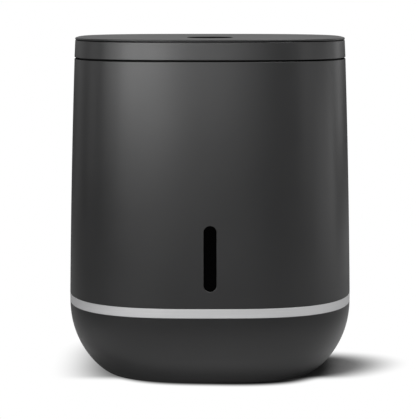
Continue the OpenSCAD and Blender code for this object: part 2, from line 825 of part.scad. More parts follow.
// Appliance inlet in a flat-bottomed pocket
module mains_inlet() color([0.09, 0.09, 0.09])
    intersection() {
        plan_solid([for (z = steps(inlet_z - inlet_h, inlet_z + inlet_h / 2 + 4, 6)) [bowl_half(z), z]]);
        difference() {
            box([-inlet_w / 2 + fit_gap, inlet_w / 2 - fit_gap], [inlet_front, far],
                [inlet_z - inlet_h / 2 + fit_gap, inlet_z + inlet_h / 2 - fit_gap]);
            box([-inlet_w / 2 + inlet_rim, inlet_w / 2 - inlet_rim], [inlet_face, far],
                [inlet_z - inlet_h / 2 + inlet_rim, inlet_z + inlet_h / 2 - inlet_rim]);
            slab_y(inlet_face - socket_depth, far)
                translate([0, inlet_z]) polygon([
                    [-socket_w / 2, -socket_h / 2], [socket_w / 2, -socket_h / 2],
                    [socket_w / 2, socket_h / 2 - socket_bevel],
                    [socket_w / 2 - socket_bevel, socket_h / 2],
                    [-socket_w / 2 + socket_bevel, socket_h / 2],
                    [-socket_w / 2, socket_h / 2 - socket_bevel]]);
        }
    }

module inlet_pins() color([0.78, 0.76, 0.7])
    for (spot = pin_spots)
        translate([spot[0] - pin_w / 2, inlet_face - socket_depth, inlet_z + spot[1] - pin_h])
            cube([pin_w, pin_l, pin_h]);

// Main circuit board, and the tall parts soldered to it
module main_board() color([0.08, 0.3, 0.16])
    difference() {
        box([-board_w / 2, board_w / 2], [board_y0, board_y1], [board_z, board_top]);
        for (spot = board_holes)
            rod(spot[0], spot[1], board_z - 1, far, m3_r + 0.2);
    }

module board_parts() color([0.25, 0.25, 0.3]) {
    left = -board_w / 2;
    right = board_w / 2;
    box([left + 10, left + 54], [board_y - 8.5, board_y + 31.5],
        [board_top, board_top + tall_part_h]);
    box([right - 52, right - 14], [board_y0 + 7, board_y0 + 29],
        [board_top, board_top + relay_part_h + 5]);
    for (x = [right - 48, right - 28])
        rod(x, board_y - 14.5, board_top, board_top + cap_part_h, cap_part_r);
    for (y = [board_y + 5.5, board_y + 23.5])
        box([right - 46, right - 18], [y, y + 14], [board_top, board_top + relay_part_h]);
    box([left + 12, left + 46], [board_y0 + 11, board_y0 + 15], [board_top, board_top + sink_part_h]);
    for (i = [0:6])
        box([left + 12 + i * 5, left + 13.5 + i * 5], [board_y0 + 15 - eps, board_y0 + 29],
            [board_top, board_top + sink_part_h]);
    for (x = [right - 40, left + 16])
        box([x, x + 28], [board_y1 - 18, board_y1 - 8], [board_top, board_top + terminal_part_h]);
}

module board_standoffs() color([0.8, 0.72, 0.45])
    for (spot = board_holes)
        union() {
            rod(spot[0], spot[1], bowl_z + bowl_floor, board_z, standoff_r);
            rod(spot[0], spot[1], bowl_z + 0.5, bowl_z + bowl_floor + eps, m3_r - 0.1);
            rod(spot[0], spot[1], board_z - eps, board_top + 1.5, m3_r);
        }

// Smoked window: a plug that fills the slot and a flange behind the wall
module slot_window() color([0.02, 0.02, 0.02]) {
    slab_y(window_face, window_back)
        translate([0, slot_mid]) stadium(slot_w - 2 * fit_gap, slot_l - 2 * fit_gap);
    slab_y(window_seat, window_back)
        translate([0, slot_mid]) stadium(slot_w + 2 * window_lap, slot_l + 2 * window_lap);
}

module light_guide() color([0.85, 0.86, 0.85])
    slab_y(window_back, guide_back)
        translate([0, slot_mid]) stadium(slot_w - 2, slot_l - 2);

module light_board() color([0.1, 0.32, 0.18]) {
    slab_y(light_board_y, light_board_y + 1.6)
        translate([0, slot_mid]) square([16, slot_l], center = true);
    for (i = [-2:2])
        box([-1.5, 1.5], [guide_back, light_board_y + eps],
            [slot_mid + i * slot_l / 6 - 1.5, slot_mid + i * slot_l / 6 + 1.5]);
}

// One barrel of the hinge, from x0 to x1
module knuckle(x0, x1, r) {
    translate([x0, hinge_y, hinge_z])
        rotate([0, 90, 0]) cylinder(r = r, h = x1 - x0);
}

// Fixed half of the hinge: a foot under the deck, an upright and two outer barrels
module hinge_bracket() color([0.3, 0.3, 0.31])
    difference() {
        union() {
            box([-hinge_w / 2, hinge_w / 2], [bracket_y - 18, bracket_y + steel_t],
                [deck_z - steel_t, deck_z]);
            box([-hinge_w / 2, hinge_w / 2], [bracket_y, bracket_y + steel_t],
                [deck_z - steel_t, hinge_z - knuckle_r + 1]);
            for (side = [0, 1])
                mirror([side, 0, 0]) {
                    box([leaf_w / 2 + knuckle_gap, hinge_w / 2], [bracket_y, hinge_y],
                        [hinge_z - knuckle_r, hinge_z - knuckle_r + steel_t]);
                    knuckle(leaf_w / 2 + knuckle_gap, hinge_w / 2, knuckle_r);
                }
        }
        knuckle(-hinge_w, hinge_w, hinge_pin_r);
    }

module hinge_pin() color([0.8, 0.8, 0.82])
    knuckle(-hinge_w / 2, hinge_w / 2, hinge_pin_r);

// Reed switch under the deck, below the lid's magnet
module reed_switch() color([0.88, 0.88, 0.86])
    box([magnet_x - reed_l / 2, magnet_x + reed_l / 2], [magnet_y - reed_w / 2, magnet_y + reed_w / 2],
        [deck_z - reed_t, deck_z]);

// Leads from the inlet, to the motor, and to the light
module wiring_harness() color([0.5, 0.1, 0.1]) {
    terminal_y = board_y1 - 8;
    terminal_z = board_top + 5.9;
    mains_x = motor_r + 11;
    tube_run([[14, inlet_front, inlet_z - 5], [14, inlet_front - 2.5, inlet_z - 5],
        [17, inlet_front - 5, inlet_z - 6], [26, inlet_front - 9, inlet_z - 10],
        [mains_x - 3, inlet_front - 18, inlet_z - 14], [mains_x, motor_y - 0.8, terminal_z + 4],
        [mains_x, terminal_y + 26, terminal_z + 2], [mains_x, terminal_y + 14, terminal_z + 1],
        [mains_x, terminal_y + 6, terminal_z], [mains_x, terminal_y + 3, terminal_z],
        [mains_x, terminal_y, terminal_z]], wire_r + 0.6, 8, [0, 0, 1]);
    tube_run([[-32, terminal_y, terminal_z], [-32, terminal_y + 3, terminal_z],
        [-32, terminal_y + 7, terminal_z + 2], [-31, terminal_y + 13, terminal_z + 8],
        [-29, terminal_y + 19, terminal_z + 18], [-27, terminal_y + 24, terminal_z + 25],
        [-24, terminal_y + 27.5, terminal_z + 28], [-21, terminal_y + 30, terminal_z + 29]],
        wire_r, 8, [1, 0, 0]);
    tube_run([[0, light_board_y + 3.8, slot_z - 2], [0, light_board_y + 3.6, slot_z - 6],
        [0, light_board_y + 4.4, slot_z - 10.8], [0, light_board_y + 5.4, slot_z - 18.8],
        [0, light_board_y + 7.4, slot_z - 30.8], [0, light_board_y + 11.4, slot_z - 44.8],
        [0, board_y0 - 21, board_top + 23.9], [0, board_y0 - 13, board_top + 11.9],
        [0, board_y0 - 6, board_top + 3.9], [0, board_y0 - 1, board_top - 1.1]],
        wire_r - 0.3, 8, [1, 0, 0]);
}

// Curved arm outline, from the hub to a blunt tip
function arm_outline(reach, sweep, root_w, tip_w) =
    let (
        n = 10,
        side = function(s, way)
            let (r = hub_r - 3 + s * (reach - hub_r + 3), w = root_w + s * (tip_w - root_w),
                a = sweep * s * s + way * w / 2 / r * 180 / PI)
            r * [cos(a), sin(a)])
    concat([for (i = [0:n]) side(i / n, -1)], [for (i = [n:-1:0]) side(i / n, 1)]);

module arm(z, a, reach) {
    translate([0, 0, z]) rotate(a)
        linear_extrude(arm_t) polygon(arm_outline(reach, 38, 18, 12));
}

// Stirring rotor: a hub over the hexagon of the shaft, two low arms and two high ones
module drive_rotor() color([0.74, 0.74, 0.76])
    translate([0, bucket_y, 0])
        difference() {
            union() {
                rod(0, 0, hub_z, hub_z + hub_l, hub_r);
                for (a = [0, 180]) {
                    arm(low_arm_z, a, bucket_r - arm_clearance);
                    arm(high_arm_z, a + 80, bucket_r - arm_clearance - 4);
                }
            }
            translate([0, 0, hub_z - 1])
                cylinder(r = socket_r + 0.1, h = socket_l + 1.2, $fn = 6);
        }

module rotor_cap() color([0.2, 0.2, 0.2])
    translate([0, bucket_y, hub_z + hub_l])
        rotate_extrude() polygon([[0, 0], [hub_r, 0], [hub_r, rotor_cap_h - 4],
            [hub_r - 1.2, rotor_cap_h - 2], [hub_r - 4, rotor_cap_h - 0.4], [0, rotor_cap_h]]);

// Output shaft: a shoulder on the lower bush, a round journal and a hexagon on top
module output_shaft() color([0.8, 0.8, 0.82])
    translate([0, bucket_y, 0]) {
        rod(0, 0, tray_z + 0.2, hub_z, shaft_r);
        rod(0, 0, tray_z + tray_floor + fit_gap, last_z, shaft_r + 3);
        translate([0, 0, hub_z - eps])
            cylinder(r = socket_r, h = socket_l + eps, $fn = 6);
    }

module output_gear() color([0.83, 0.79, 0.66])
    difference() {
        gear(bucket_y, last_z, last_z + last_face, last_teeth, last_module, 90);
        rod(0, bucket_y, 0, far, shaft_r);
        for (a = [0:60:300])
            rod(21 * cos(a), bucket_y + 21 * sin(a), 0, far, 6);
    }

// Compound gear between the output gear and the first gear
module middle_gear() color([0.83, 0.79, 0.66])
    difference() {
        union() {
            gear(middle_gear_y, middle_z, middle_z + middle_face, middle_teeth, middle_module, 90);
            gear(middle_gear_y, middle_z, last_z + last_face, pinion_teeth, last_module, gap_at_270);
        }
        rod(0, middle_gear_y, 0, far, gear_pin_r + bush_gap);
    }

// Compound gear driven by the motor's pinion
module first_gear() color([0.83, 0.79, 0.66])
    difference() {
        union() {
            gear(first_gear_y, gear_z, gear_z + first_face, first_teeth, first_module, 90);
            gear(first_gear_y, gear_z, middle_z + middle_face, pinion_teeth, middle_module, gap_at_270);
        }
        rod(0, first_gear_y, 0, far, gear_pin_r + bush_gap);
    }

module motor_pinion() color([0.78, 0.7, 0.4]) {
    gear(motor_y, gear_z, gear_z + first_face, pinion_teeth, first_module, gap_at_270);
    rod(0, motor_y, chassis_z - 23, gear_z + eps, motor_shaft_r);
}

// Blower wheel: a back plate, a ring of forward-leaning blades and a front hoop
module blower_wheel() color([0.85, 0.85, 0.85]) {
    wheel_front = blower_y + blower_wall + 1.5;
    wheel_back = blower_back - 6 - 1;
    translate([0, 0, blower_z]) {
        difference() {
            slab_y(wheel_back - 2, wheel_back) circle(wheel_r);
            slab_y(0, far) circle(fan_shaft_r);
        }
        slab_y(wheel_front, wheel_front + 2)
            difference() {
                circle(wheel_r);
                circle(wheel_eye_r + 6);
            }
        slab_y(wheel_front + 2 - eps, wheel_back - 2 + eps)
            for (i = [0:blade_count - 1])
                rotate(360 * i / blade_count)
                    translate([wheel_r - 3.2, 0]) rotate(25) square([5, 1], center = true);
        slab_y(wheel_back - 4, blower_back + 2) circle(fan_shaft_r);
    }
}

// Cassette tray round the carbon block
module filter_cassette() color([0.25, 0.25, 0.26])
    difference() {
        box([-filter_w / 2, filter_w / 2], [filter_y, cap_y], [filter_z, filter_top]);
        box([-filter_w / 2 + 2, filter_w / 2 - 2], [filter_y + 2, far], [filter_z + 2, filter_top - 2]);
        for (i = [-4:4])
            slab_y(0, far) translate([i * 11, (filter_z + filter_top) / 2]) stadium(5, filter_h - 20);
    }

module carbon_block() color([0.06, 0.06, 0.06])
    box([-filter_w / 2 + 2.2, filter_w / 2 - 2.2], [filter_y + 2.2, cap_y - 2],
        [filter_z + 2.2, filter_top - 2.2]);

// Outside cap of the cassette: follows the shell, with a grille and a rim that holds the cassette
module filter_cap() color([0.19, 0.19, 0.195])
    difference() {
        intersection() {
            plan_solid([for (z = steps(cap_z - 2, cap_top + 2, 4)) [shell_half(z), z]]);
            box([-cap_w / 2, cap_w / 2], [cap_y, far], [cap_z, cap_top]);
        }
        intersection() {
            plan_solid([for (z = steps(cap_z - 4, cap_top + 4, 4)) [shell_half(z) - shell_wall, z]]);
            box([-cap_w / 2 + 4, cap_w / 2 - 4], [0, far], [cap_z + 4, cap_top - 4]);
        }
        for (i = [0:cap_slots - 1])
            slab_y(0, far)
                translate([0, (cap_z + cap_top) / 2 + (i - (cap_slots - 1) / 2) * 7.4])
                    rotate(90) stadium(3, 86);
    }

// Top plate with a stepped underside that leaves the shadow gap at its edge
module lid_top_plate() color([0.24, 0.24, 0.245])
    difference() {
        union() {
            plan_plate(lid_half(plate_z), plate_z, top_z);
            plan_plate(lid_half(plate_z) - 4, lid_top_z, plate_z + eps);
        }
        translate([0, cup_y, 0]) linear_extrude(far) stadium(cup_w, cup_l);
    }

// Lid casing: the visible side, a web under the top plate and four screw bosses
module lid_shell() color([0.22, 0.22, 0.225])
    difference() {
        union() {
            plan_ring([[lid_half(lid_z), lid_z], [lid_half(lid_top_z), lid_top_z],
                [lid_half(lid_top_z) - lid_wall, lid_top_z], [lid_half(lid_z) - lid_wall, lid_z]]);
            plan_plate(lid_half(lid_top_z) - 0.5, web_z, lid_top_z);
            for (spot = lid_screw_spots)
                rod(spot[0], spot[1], tray_low + tray_t, web_z + eps, lid_boss_r);
        }
        for (spot = lid_screw_spots)
            rod(spot[0], spot[1], 0, tray_low + m3_l + 1, m3_r);
        translate([0, cup_y, 0]) linear_extrude(far) stadium(cup_w, cup_l);
        box([-notch_w / 2, notch_w / 2], [hinge_y - 8, far], [0, notch_high]);
    }

// Inner tray of the lid with intake slots over the bucket
module lid_tray() color([0.12, 0.12, 0.125])
    difference() {
        union() {
            plan_plate(tray_half, tray_low, tray_low + tray_t);
            plan_ring([[tray_half, tray_low], [tray_half, tray_flange_z],
                [lid_half(lid_z) - lid_wall - fit_gap, tray_flange_z],
                [lid_half(lid_z) - lid_wall - fit_gap, tray_flange_z + tray_t],
                [tray_half - tray_t, tray_flange_z + tray_t], [tray_half - tray_t, tray_low]]);
            for (x = [-12, 12])
                rod(x, cup_y, tray_low + tray_t - eps, button_board_z, 2.5);
        }
        for (spot = lid_screw_spots)
            rod(spot[0], spot[1], 0, far, m3_r + 0.2);
        for (i = [-3:3])
            translate([i * 9, 60, tray_low - 1]) linear_extrude(tray_t + 2) stadium(4, 50);
    }

// Soft ring under the lid's tray that closes on the bucket's rim
module lid_gasket() color([0.3, 0.3, 0.31])
    pipe(0, bucket_y, rim_z + fit_gap, tray_low,
        bucket_out + gasket_gap + gasket_w, bucket_out + gasket_gap);

// Black recess in the lid, with a hole for the button in its floor
module grip_cup() color([0.02, 0.02, 0.02])
    difference() {
        translate([0, cup_y, cup_floor - cup_wall])
            linear_extrude(top_z - cup_floor + cup_wall) stadium(cup_w, cup_l);
        translate([0, cup_y, cup_floor])
            linear_extrude(far) stadium(cup_w - 2 * cup_wall, cup_l - 2 * cup_wall);
        rod(0, cup_y, 0, far, button_r + fit_gap);
    }

// Moving half of the hinge: one barrel and a leaf on the tray's flange
module hinge_leaf() color([0.3, 0.3, 0.31])
    difference() {
        union() {
            knuckle(-leaf_w / 2, leaf_w / 2, knuckle_r);
            box([-leaf_w / 2, leaf_w / 2], [hinge_y - 26, hinge_y],
                [hinge_z + knuckle_r - 0.6, hinge_z + knuckle_r + 1]);
        }
        knuckle(-leaf_w, leaf_w, hinge_pin_r + bush_gap);
    }

module lid_magnet() color([0.6, 0.6, 0.62])
    rod(magnet_x, magnet_y, tray_low + tray_t, tray_low + tray_t + magnet_t, magnet_r);

module lid_screws() color([0.75, 0.75, 0.76])
    for (spot = lid_screw_spots)
        translate([0, 0, 2 * tray_low]) mirror([0, 0, 1])
            screw(spot, tray_low, m3_r - eps, m3_l, m3_head_r, m3_head_h);

// Small board under the button, with its switch
module button_board() color([0.1, 0.32, 0.18]) {
    box([-16, 16], [cup_y - 12, cup_y + 12], [button_board_z, button_board_top]);
    box([-3, 3], [cup_y - 3, cup_y + 3], [button_board_top - eps, switch_top]);
}

// Start button: a cap in the recess, a flange under it and a stem over the switch
module start_button() color([0.1, 0.1, 0.1])
    translate([0, cup_y, 0]) {
        rod(0, 0, button_flange_z, button_top, button_r);
        rod(0, 0, button_flange_z, button_flange_z + button_flange_t, button_r + 1.5);
        rod(0, 0, stem_low, button_flange_z + eps, button_stem_r);
    }

// Coil spring between the small board and the button's flange
module button_spring() color([0.8, 0.8, 0.82]) {
    rise = button_flange_z - button_board_top - 2 * spring_wire - 0.1;
    turn_steps = 14;
    count = spring_turns * turn_steps;
    tube_run([for (i = [0:count])
        [spring_r * cos(360 * i / turn_steps), cup_y + spring_r * sin(360 * i / turn_steps),
            button_board_top + spring_wire + 0.05 + rise * i / count]], spring_wire, 6, [0, 0, 1]);
}

outer_shell();
trim_band();
base_bowl();
rubber_feet();
chassis_plate();
deck_posts();
deck_collar();
case_screws();
bucket_seal();
chamber_liner();
insulation_jacket();
heater_plate();
heater_element();
thermal_cutouts();
bucket();
breaker_bars();
bucket_bush();
gearbox_tray();
gearbox_cover();
gear_pins();
output_bushes();
drive_motor();
blower_housing();
blower_motor();
suction_duct();
filter_housing();
mains_inlet();
inlet_pins();
main_board();
board_parts();
board_standoffs();
slot_window();
light_guide();
light_board();
hinge_bracket();
hinge_pin();
reed_switch();
wiring_harness();
drive_rotor();
rotor_cap();
output_shaft();
output_gear();
middle_gear();
first_gear();
motor_pinion();
blower_wheel();
filter_cassette();
carbon_block();
filter_cap();
lid_top_plate();
lid_shell();
lid_tray();
lid_gasket();
grip_cup();
hinge_leaf();
lid_magnet();
lid_screws();
button_board();
start_button();
button_spring();
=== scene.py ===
import json
import math

import bmesh
import bpy
from mathutils import Matrix, Vector


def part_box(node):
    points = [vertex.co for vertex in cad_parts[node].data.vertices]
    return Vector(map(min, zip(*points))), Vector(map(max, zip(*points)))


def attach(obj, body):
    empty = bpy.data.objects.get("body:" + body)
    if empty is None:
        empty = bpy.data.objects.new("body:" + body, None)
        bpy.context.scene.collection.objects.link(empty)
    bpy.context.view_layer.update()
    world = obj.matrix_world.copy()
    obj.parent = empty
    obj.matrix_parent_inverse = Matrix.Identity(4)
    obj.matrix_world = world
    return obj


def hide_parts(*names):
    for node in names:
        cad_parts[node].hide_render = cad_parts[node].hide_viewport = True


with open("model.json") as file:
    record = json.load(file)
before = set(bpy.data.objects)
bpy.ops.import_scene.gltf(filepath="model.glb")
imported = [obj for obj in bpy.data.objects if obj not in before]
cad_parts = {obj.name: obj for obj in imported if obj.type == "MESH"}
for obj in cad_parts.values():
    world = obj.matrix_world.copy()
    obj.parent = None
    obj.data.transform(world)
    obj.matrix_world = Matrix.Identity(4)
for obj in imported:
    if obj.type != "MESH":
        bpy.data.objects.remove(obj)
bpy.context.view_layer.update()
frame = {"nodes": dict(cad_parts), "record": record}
for flat_colour in list(bpy.data.materials):
    bpy.data.materials.remove(flat_colour)

# ---- Sizes, in millimetres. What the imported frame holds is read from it. ----
MM = 0.001


def low(node):
    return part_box(node)[0] / MM


def high(node):
    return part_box(node)[1] / MM


BODY_HALF = high("trim_band").x
CORNER_POWER = 3
WALL = 2.6
FIT = 0.3
SEAM = 1.6
PLATE_GAP = 0.8

BOWL_LOW = low("base_bowl").z
BAND_LOW = low("trim_band").z
SHELL_LOW = low("outer_shell").z
SHELL_HIGH = high("outer_shell").z
LID_LOW = SHELL_HIGH + SEAM
LID_HIGH = high("lid_shell").z
PLATE_LOW = LID_HIGH + PLATE_GAP
TOP = high("lid_top_plate").z

SHELL_TAPER = 4
SHELL_BARREL = 2.7
LID_TAPER = 0.9
LID_WALL = 2.4
BOWL_ROUND = 36
BOWL_START = 2.1
BOWL_TURN = 1.25
BOWL_WALL = 2.8
BOWL_FLOOR = 3
LIP_HEIGHT = 6
LIP_WALL = 2
LIP_FOOT = 4
EDGE_ROUND = 0.35

SLOT_WIDTH = 12.4
SLOT_LENGTH = 64.2
SLOT_RISE = 16.7
SLOT_MIDDLE = SHELL_LOW + SLOT_RISE + SLOT_LENGTH / 2
SLOT_ROUND = 0.55
SLOT_MOUTH = 0.83 * SLOT_ROUND

CUP_WIDTH = high("grip_cup").x * 2
CUP_LENGTH = high("grip_cup").y - low("grip_cup").y
CUP_Y = (high("grip_cup").y + low("grip_cup").y) / 2
CUP_WALL = 1.6
CUP_FLOOR = low("grip_cup").z + CUP_WALL
BUTTON_RADIUS = 11
BUTTON_TOP = high("start_button").z
BUTTON_FLANGE = 1.8

CAP_LOW, CAP_HIGH = low("filter_cap"), high("filter_cap")
CAP_MIDDLE = (CAP_LOW.z + CAP_HIGH.z) / 2
CAP_SLOTS = 8
CAP_SLOT_PITCH = 7.4
CAP_SLOT_LENGTH = 86
OPENING_GAP = 0.5

VENT_LENGTH = 60
VENT_PITCH = 9
VENT_MIDDLE = -30

INLET_Z = 45
INLET_WIDTH = 50
INLET_HEIGHT = 36
INLET_FACE = BODY_HALF - 15
INLET_FRONT = low("mains_inlet").y
SOCKET_WIDTH = 24
SOCKET_HEIGHT = 16.6
SOCKET_DEPTH = 17

HINGE_Y = (low("hinge_pin").y + high("hinge_pin").y) / 2
HINGE_Z = (low("hinge_pin").z + high("hinge_pin").z) / 2
NOTCH_WIDTH = 2 * (high("hinge_pin").x + 1.5)
NOTCH_HEIGHT = 30
NOTCH_ROUND = 1.6
NOTCH_LOW = HINGE_Z - 5.1
NOTCH_HIGH = HINGE_Z + 5.6

FOOT_SPOT = BODY_HALF - 75
POST_SPOT = BODY_HALF - 50
LID_SCREW_SPOT = BODY_HALF - 55
BOSS_X, BOSS_Y = 80, BODY_HALF - 59
THREAD_PITCH = 0.7
THREAD_DEPTH = 0.35
STEM_RADIUS = 3
CHASSIS_LOW, CHASSIS_TOP = low("chassis_plate").z, high("chassis_plate").z

BUCKET_Y = (low("bucket").y + high("bucket").y) / 2
RIM_Z = high("bucket").z
BUCKET_LOW = low("bucket").z
BUCKET_RADIUS = 88
BUCKET_WALL = 3
FLANGE_WIDTH = 7
FLANGE_HEIGHT = 3
LOBE_REACH = high("bucket").x - BUCKET_RADIUS - BUCKET_WALL / 2
LOBE_WIDTH = 44
BUSH_HOLE = 12

DECK_TOP = high("deck_collar").z
TRAY_LOW = low("lid_tray").z
TRAY_WALL = 2
HUB_LOW, HUB_TOP = low("drive_rotor").z, low("rotor_cap").z
HUB_RADIUS = 11
HUB_SOCKET_RADIUS = 5.5
ARM_HEIGHT = 11
ARM_WIDTH = 18
ARM_TAPER = 6
ARM_SWEEP = 38
ARM_TIP = 4
LOW_ARM_Z = HUB_LOW + 1
HIGH_ARM_Z = low("breaker_bars").z + ARM_HEIGHT + 3

PLAN_POINTS = 240
HEIGHT_STEPS = 28
# Half widths of the rings that divide a flat underside or top
HUB_RING, MID_RING = 4, 60
# How far a cutter runs past the surface that it opens
CLEAR = 3
# The seam and the gap under the plate stay dark through painted shade: the rims there are black
# over this height, and the tray inside the lid is black on its upright faces beyond this half width
PAINTED_SHADE_RIM = 0.12
TRAY_RIM_REACH = 120

# ---- Outlines and profiles of the machine ----


def shell_half(z):
    """Half width of the tall shell at height z; it narrows a little towards the seam."""
    rise = (z - SHELL_LOW) / (SHELL_HIGH - SHELL_LOW)
    return BODY_HALF - SHELL_TAPER * rise - SHELL_BARREL * rise**2


def lid_half(z):
    return shell_half(SHELL_HIGH) - LID_TAPER * (z - LID_LOW) / (LID_HIGH - LID_LOW)


def bowl_half(z):
    """Half width of the dark bowl, which curves in to a flat underside."""
    drop = min(1, max(0, (BAND_LOW - z) / (BAND_LOW - BOWL_LOW)))
    return BODY_HALF - BOWL_ROUND * (1 - max(0, 1 - drop**BOWL_START) ** (1 / BOWL_TURN))


def bowl_inner(z):
    return bowl_half(max(BOWL_LOW, z - 0.6 * BOWL_WALL)) - 0.8 * BOWL_WALL


def circle(radius, count=96):
    return [(radius * math.cos(math.tau * i / count), radius * math.sin(math.tau * i / count))
            for i in range(count)]


def plan(half):
    """Rounded-square outline of the body at a half width."""
    points = []
    for c, s in circle(1, PLAN_POINTS):
        reach = half * (abs(c) ** CORNER_POWER + abs(s) ** CORNER_POWER) ** (-1 / CORNER_POWER)
        points.append((reach * c, reach * s))
    return points


def rounded(width, depth, radius, count=10):
    """Rectangle with round corners, or a stadium where radius is half its width."""
    points = []
    for quarter, (sx, sy) in enumerate(((1, 1), (-1, 1), (-1, -1), (1, -1))):
        for i in range(count + 1):
            a = math.pi / 2 * (quarter + i / count)
            points.append((sx * (width / 2 - radius) + radius * math.cos(a),
                           sy * (depth / 2 - radius) + radius * math.sin(a)))
    return points


def stadium(width, length):
    """Upright outline with full round ends."""
    return rounded(width, length, width / 2 - 1e-4, 20)


def stadium_inset(width, length):
    return lambda inset: stadium(width - 2 * inset, length - 2 * inset)


def steps(start, end, count, power=1.0):
    """Values from start to end; a power above 1 crowds them at the start."""
    return [start + (end - start) * (i / count) ** power for i in range(count + 1)]


def soften(points, count=4):
    """Profile whose points with a third value get a corner rounded by that radius."""
    path = []
    for i, point in enumerate(points):
        here = Vector(point[:2])
        if len(point) < 3:
            path.append(tuple(here))
            continue
        before = Vector(points[i - 1][:2]) - here
        after = Vector(points[(i + 1) % len(points)][:2]) - here
        half_angle = before.angle(after) / 2
        reach = min(point[2] / math.tan(half_angle), 0.48 * before.length, 0.48 * after.length)
        a, b = here + before.normalized() * reach, here + after.normalized() * reach
        for k in range(count + 1):
            t = k / count
            path.append(tuple((1 - t) ** 2 * a + 2 * t * (1 - t) * here + t**2 * b))
    return path


# ---- Shapes: lists of corner points and of faces ----


def level(outline, z):
    return [(x, y, z) for x, y in outline]


def skin(rings, loop=False):
    """Skin over rings of equally many points, closed on itself or capped at both ends."""
    count = len(rings[0])
    points = [p for ring in rings for p in ring]
    faces = []
    for a in range(len(rings) if loop else len(rings) - 1):
        b = (a + 1) % len(rings)
        for i in range(count):
            j = (i + 1) % count
            faces.append((a * count + i, a * count + j, b * count + j, b * count + i))
    if not loop:
        last = (len(rings) - 1) * count
        faces += [tuple(reversed(range(count))), tuple(range(last, last + count))]
    return points, faces


def plan_skin(profile, loop=False):
    """Rounded-square shape; the profile's points are (half width, z)."""
    return skin([level(plan(half), z) for half, z in profile], loop)


def turned(profile, x=0, y=0, loop=False, count=96):
    """Round shape about an upright axis; the profile's points are (radius, z)."""
    return skin([[(x + px, y + py, z) for px, py in circle(max(radius, 0.01), count)]
                 for radius, z in profile], loop)


def boss(bore, radius, z0, z1, x, y):
    """Round post with a screw hole through it."""
    return turned([(bore, z0), (radius, z0), (radius, z1), (bore, z1)], x, y, loop=True, count=32)


def slab(outline, z0, z1, edge=0.3):
    """Plate from z0 to z1 with rounded edges; outline(inset) gives its plan."""
    quarter = steps(0, math.pi / 2, 4)
    rings = [level(outline(edge * (1 - math.sin(a))), z0 + edge * (1 - math.cos(a)))
             for a in quarter]
    rings += [level(outline(edge * (1 - math.cos(a))), z1 - edge * (1 - math.sin(a)))
              for a in quarter]
    return skin(rings)


def flared_hole(outline, surface, end, radius):
    """Cutter from above the surface down to end, whose mouth is rounded over by radius."""
    rings = [level(outline(-radius), surface + CLEAR)]
    for a in steps(0, math.pi / 2, 6)[1:]:
        inset = -radius * (1 - math.sin(a))
        rings.append(level(outline(inset), surface - radius * (1 - math.cos(a))))
    rings.append(level(outline(0), end))
    return skin(list(reversed(rings)))


def moved(shape, x=0, y=0, z=0, turn=None):
    """The shape turned by a matrix and then moved."""
    points, faces = shape
    turn = turn or Matrix.Identity(3)
    return [tuple(turn @ Vector(p) + Vector((x, y, z))) for p in points], faces


# Lays a shape drawn in the XY plane upright, so that its +Z faces the front or the back
TO_FRONT = Matrix.Rotation(math.pi / 2, 3, "X")
TO_BACK = Matrix.Rotation(math.pi, 3, "Z") @ TO_FRONT


def back_bar(width, height, radius, y, z, length=60):
    """Bar with a rounded section that runs back from y, to cut or shape what is behind it."""
    return moved(slab(lambda inset: rounded(width, height, radius), 0, length), 0, y, z, TO_BACK)


def four(x, y):
    """The same spot in each quarter of the plan."""
    return [(x, y), (-x, y), (-x, -y), (x, -y)]


def joined(*shapes):
    """Several separate shapes as one."""
    points, faces = [], []
    for more_points, more_faces in shapes:
        start = len(points)
        points += more_points
        faces += [tuple(start + i for i in face) for face in more_faces]
    return points, faces


def new_object(name, data):
    made = bpy.data.objects.new(name, data)
    bpy.context.scene.collection.objects.link(made)
    return made


def loose_object(shape):
    mesh = bpy.data.meshes.new("loose")
    mesh.from_pydata(shape[0], [], shape[1])
    straighten(mesh)
    return new_object("loose", mesh)


def straighten(mesh):
    """Points every face outwards."""
    made = bmesh.new()
    made.from_mesh(mesh)
    bmesh.ops.recalc_face_normals(made, faces=made.faces)
    made.to_mesh(mesh)
    made.free()


def carved(shape, cutters, operation="DIFFERENCE"):
    """The shape after cutting, adding or keeping the part shared with each of the cutters."""
    base = loose_object(shape)
    tools = [loose_object(cutter) for cutter in cutters]
    for tool in tools:
        modifier = base.modifiers.new("carve", "BOOLEAN")
        modifier.object = tool
        modifier.operation = operation
        modifier.solver = "EXACT"
    bpy.context.view_layer.update()
    result = base.evaluated_get(bpy.context.evaluated_depsgraph_get()).to_mesh()
    points = [tuple(v.co) for v in result.vertices]
    faces = [tuple(f.vertices) for f in result.polygons]
    for spare in [base, *tools]:
        mesh = spare.data
        bpy.data.objects.remove(spare)
        bpy.data.meshes.remove(mesh)
    return points, faces


# ---- Node trees ----


def feed(tree, socket, value):
    if isinstance(value, bpy.types.NodeSocket):
        tree.links.new(value, socket)
    else:
        socket.default_value = value


def add(tree, kind, inputs=None, **settings):
    """A node of this kind with its settings, and its inputs set to values or linked."""
    made = tree.nodes.new("ShaderNode" + kind)
    for name, value in settings.items():
        setattr(made, name, value)
    for name, value in (inputs or {}).items():
        feed(tree, made.inputs[name], value)
    return made


def maths(tree, operation, a, b=0.0, c=0.0):
    return add(tree, "Math", {0: a, 1: b, 2: c}, operation=operation).outputs[0]


def remap(tree, value, from_low, from_high, to_low=0.0, to_high=1.0):
    return add(tree, "MapRange", {"Value": value, "From Min": from_low, "From Max": from_high,
                                  "To Min": to_low, "To Max": to_high}).outputs[0]


def mix_colours(tree, share, a, b):
    return add(tree, "Mix", {0: share, 6: a, 7: b}, data_type="RGBA").outputs[2]


def noise(tree, place, scale, detail=2.0, roughness=0.5):
    return add(tree, "TexNoise", {"Vector": place, "Scale": scale, "Detail": detail,
                                  "Roughness": roughness}).outputs[0]


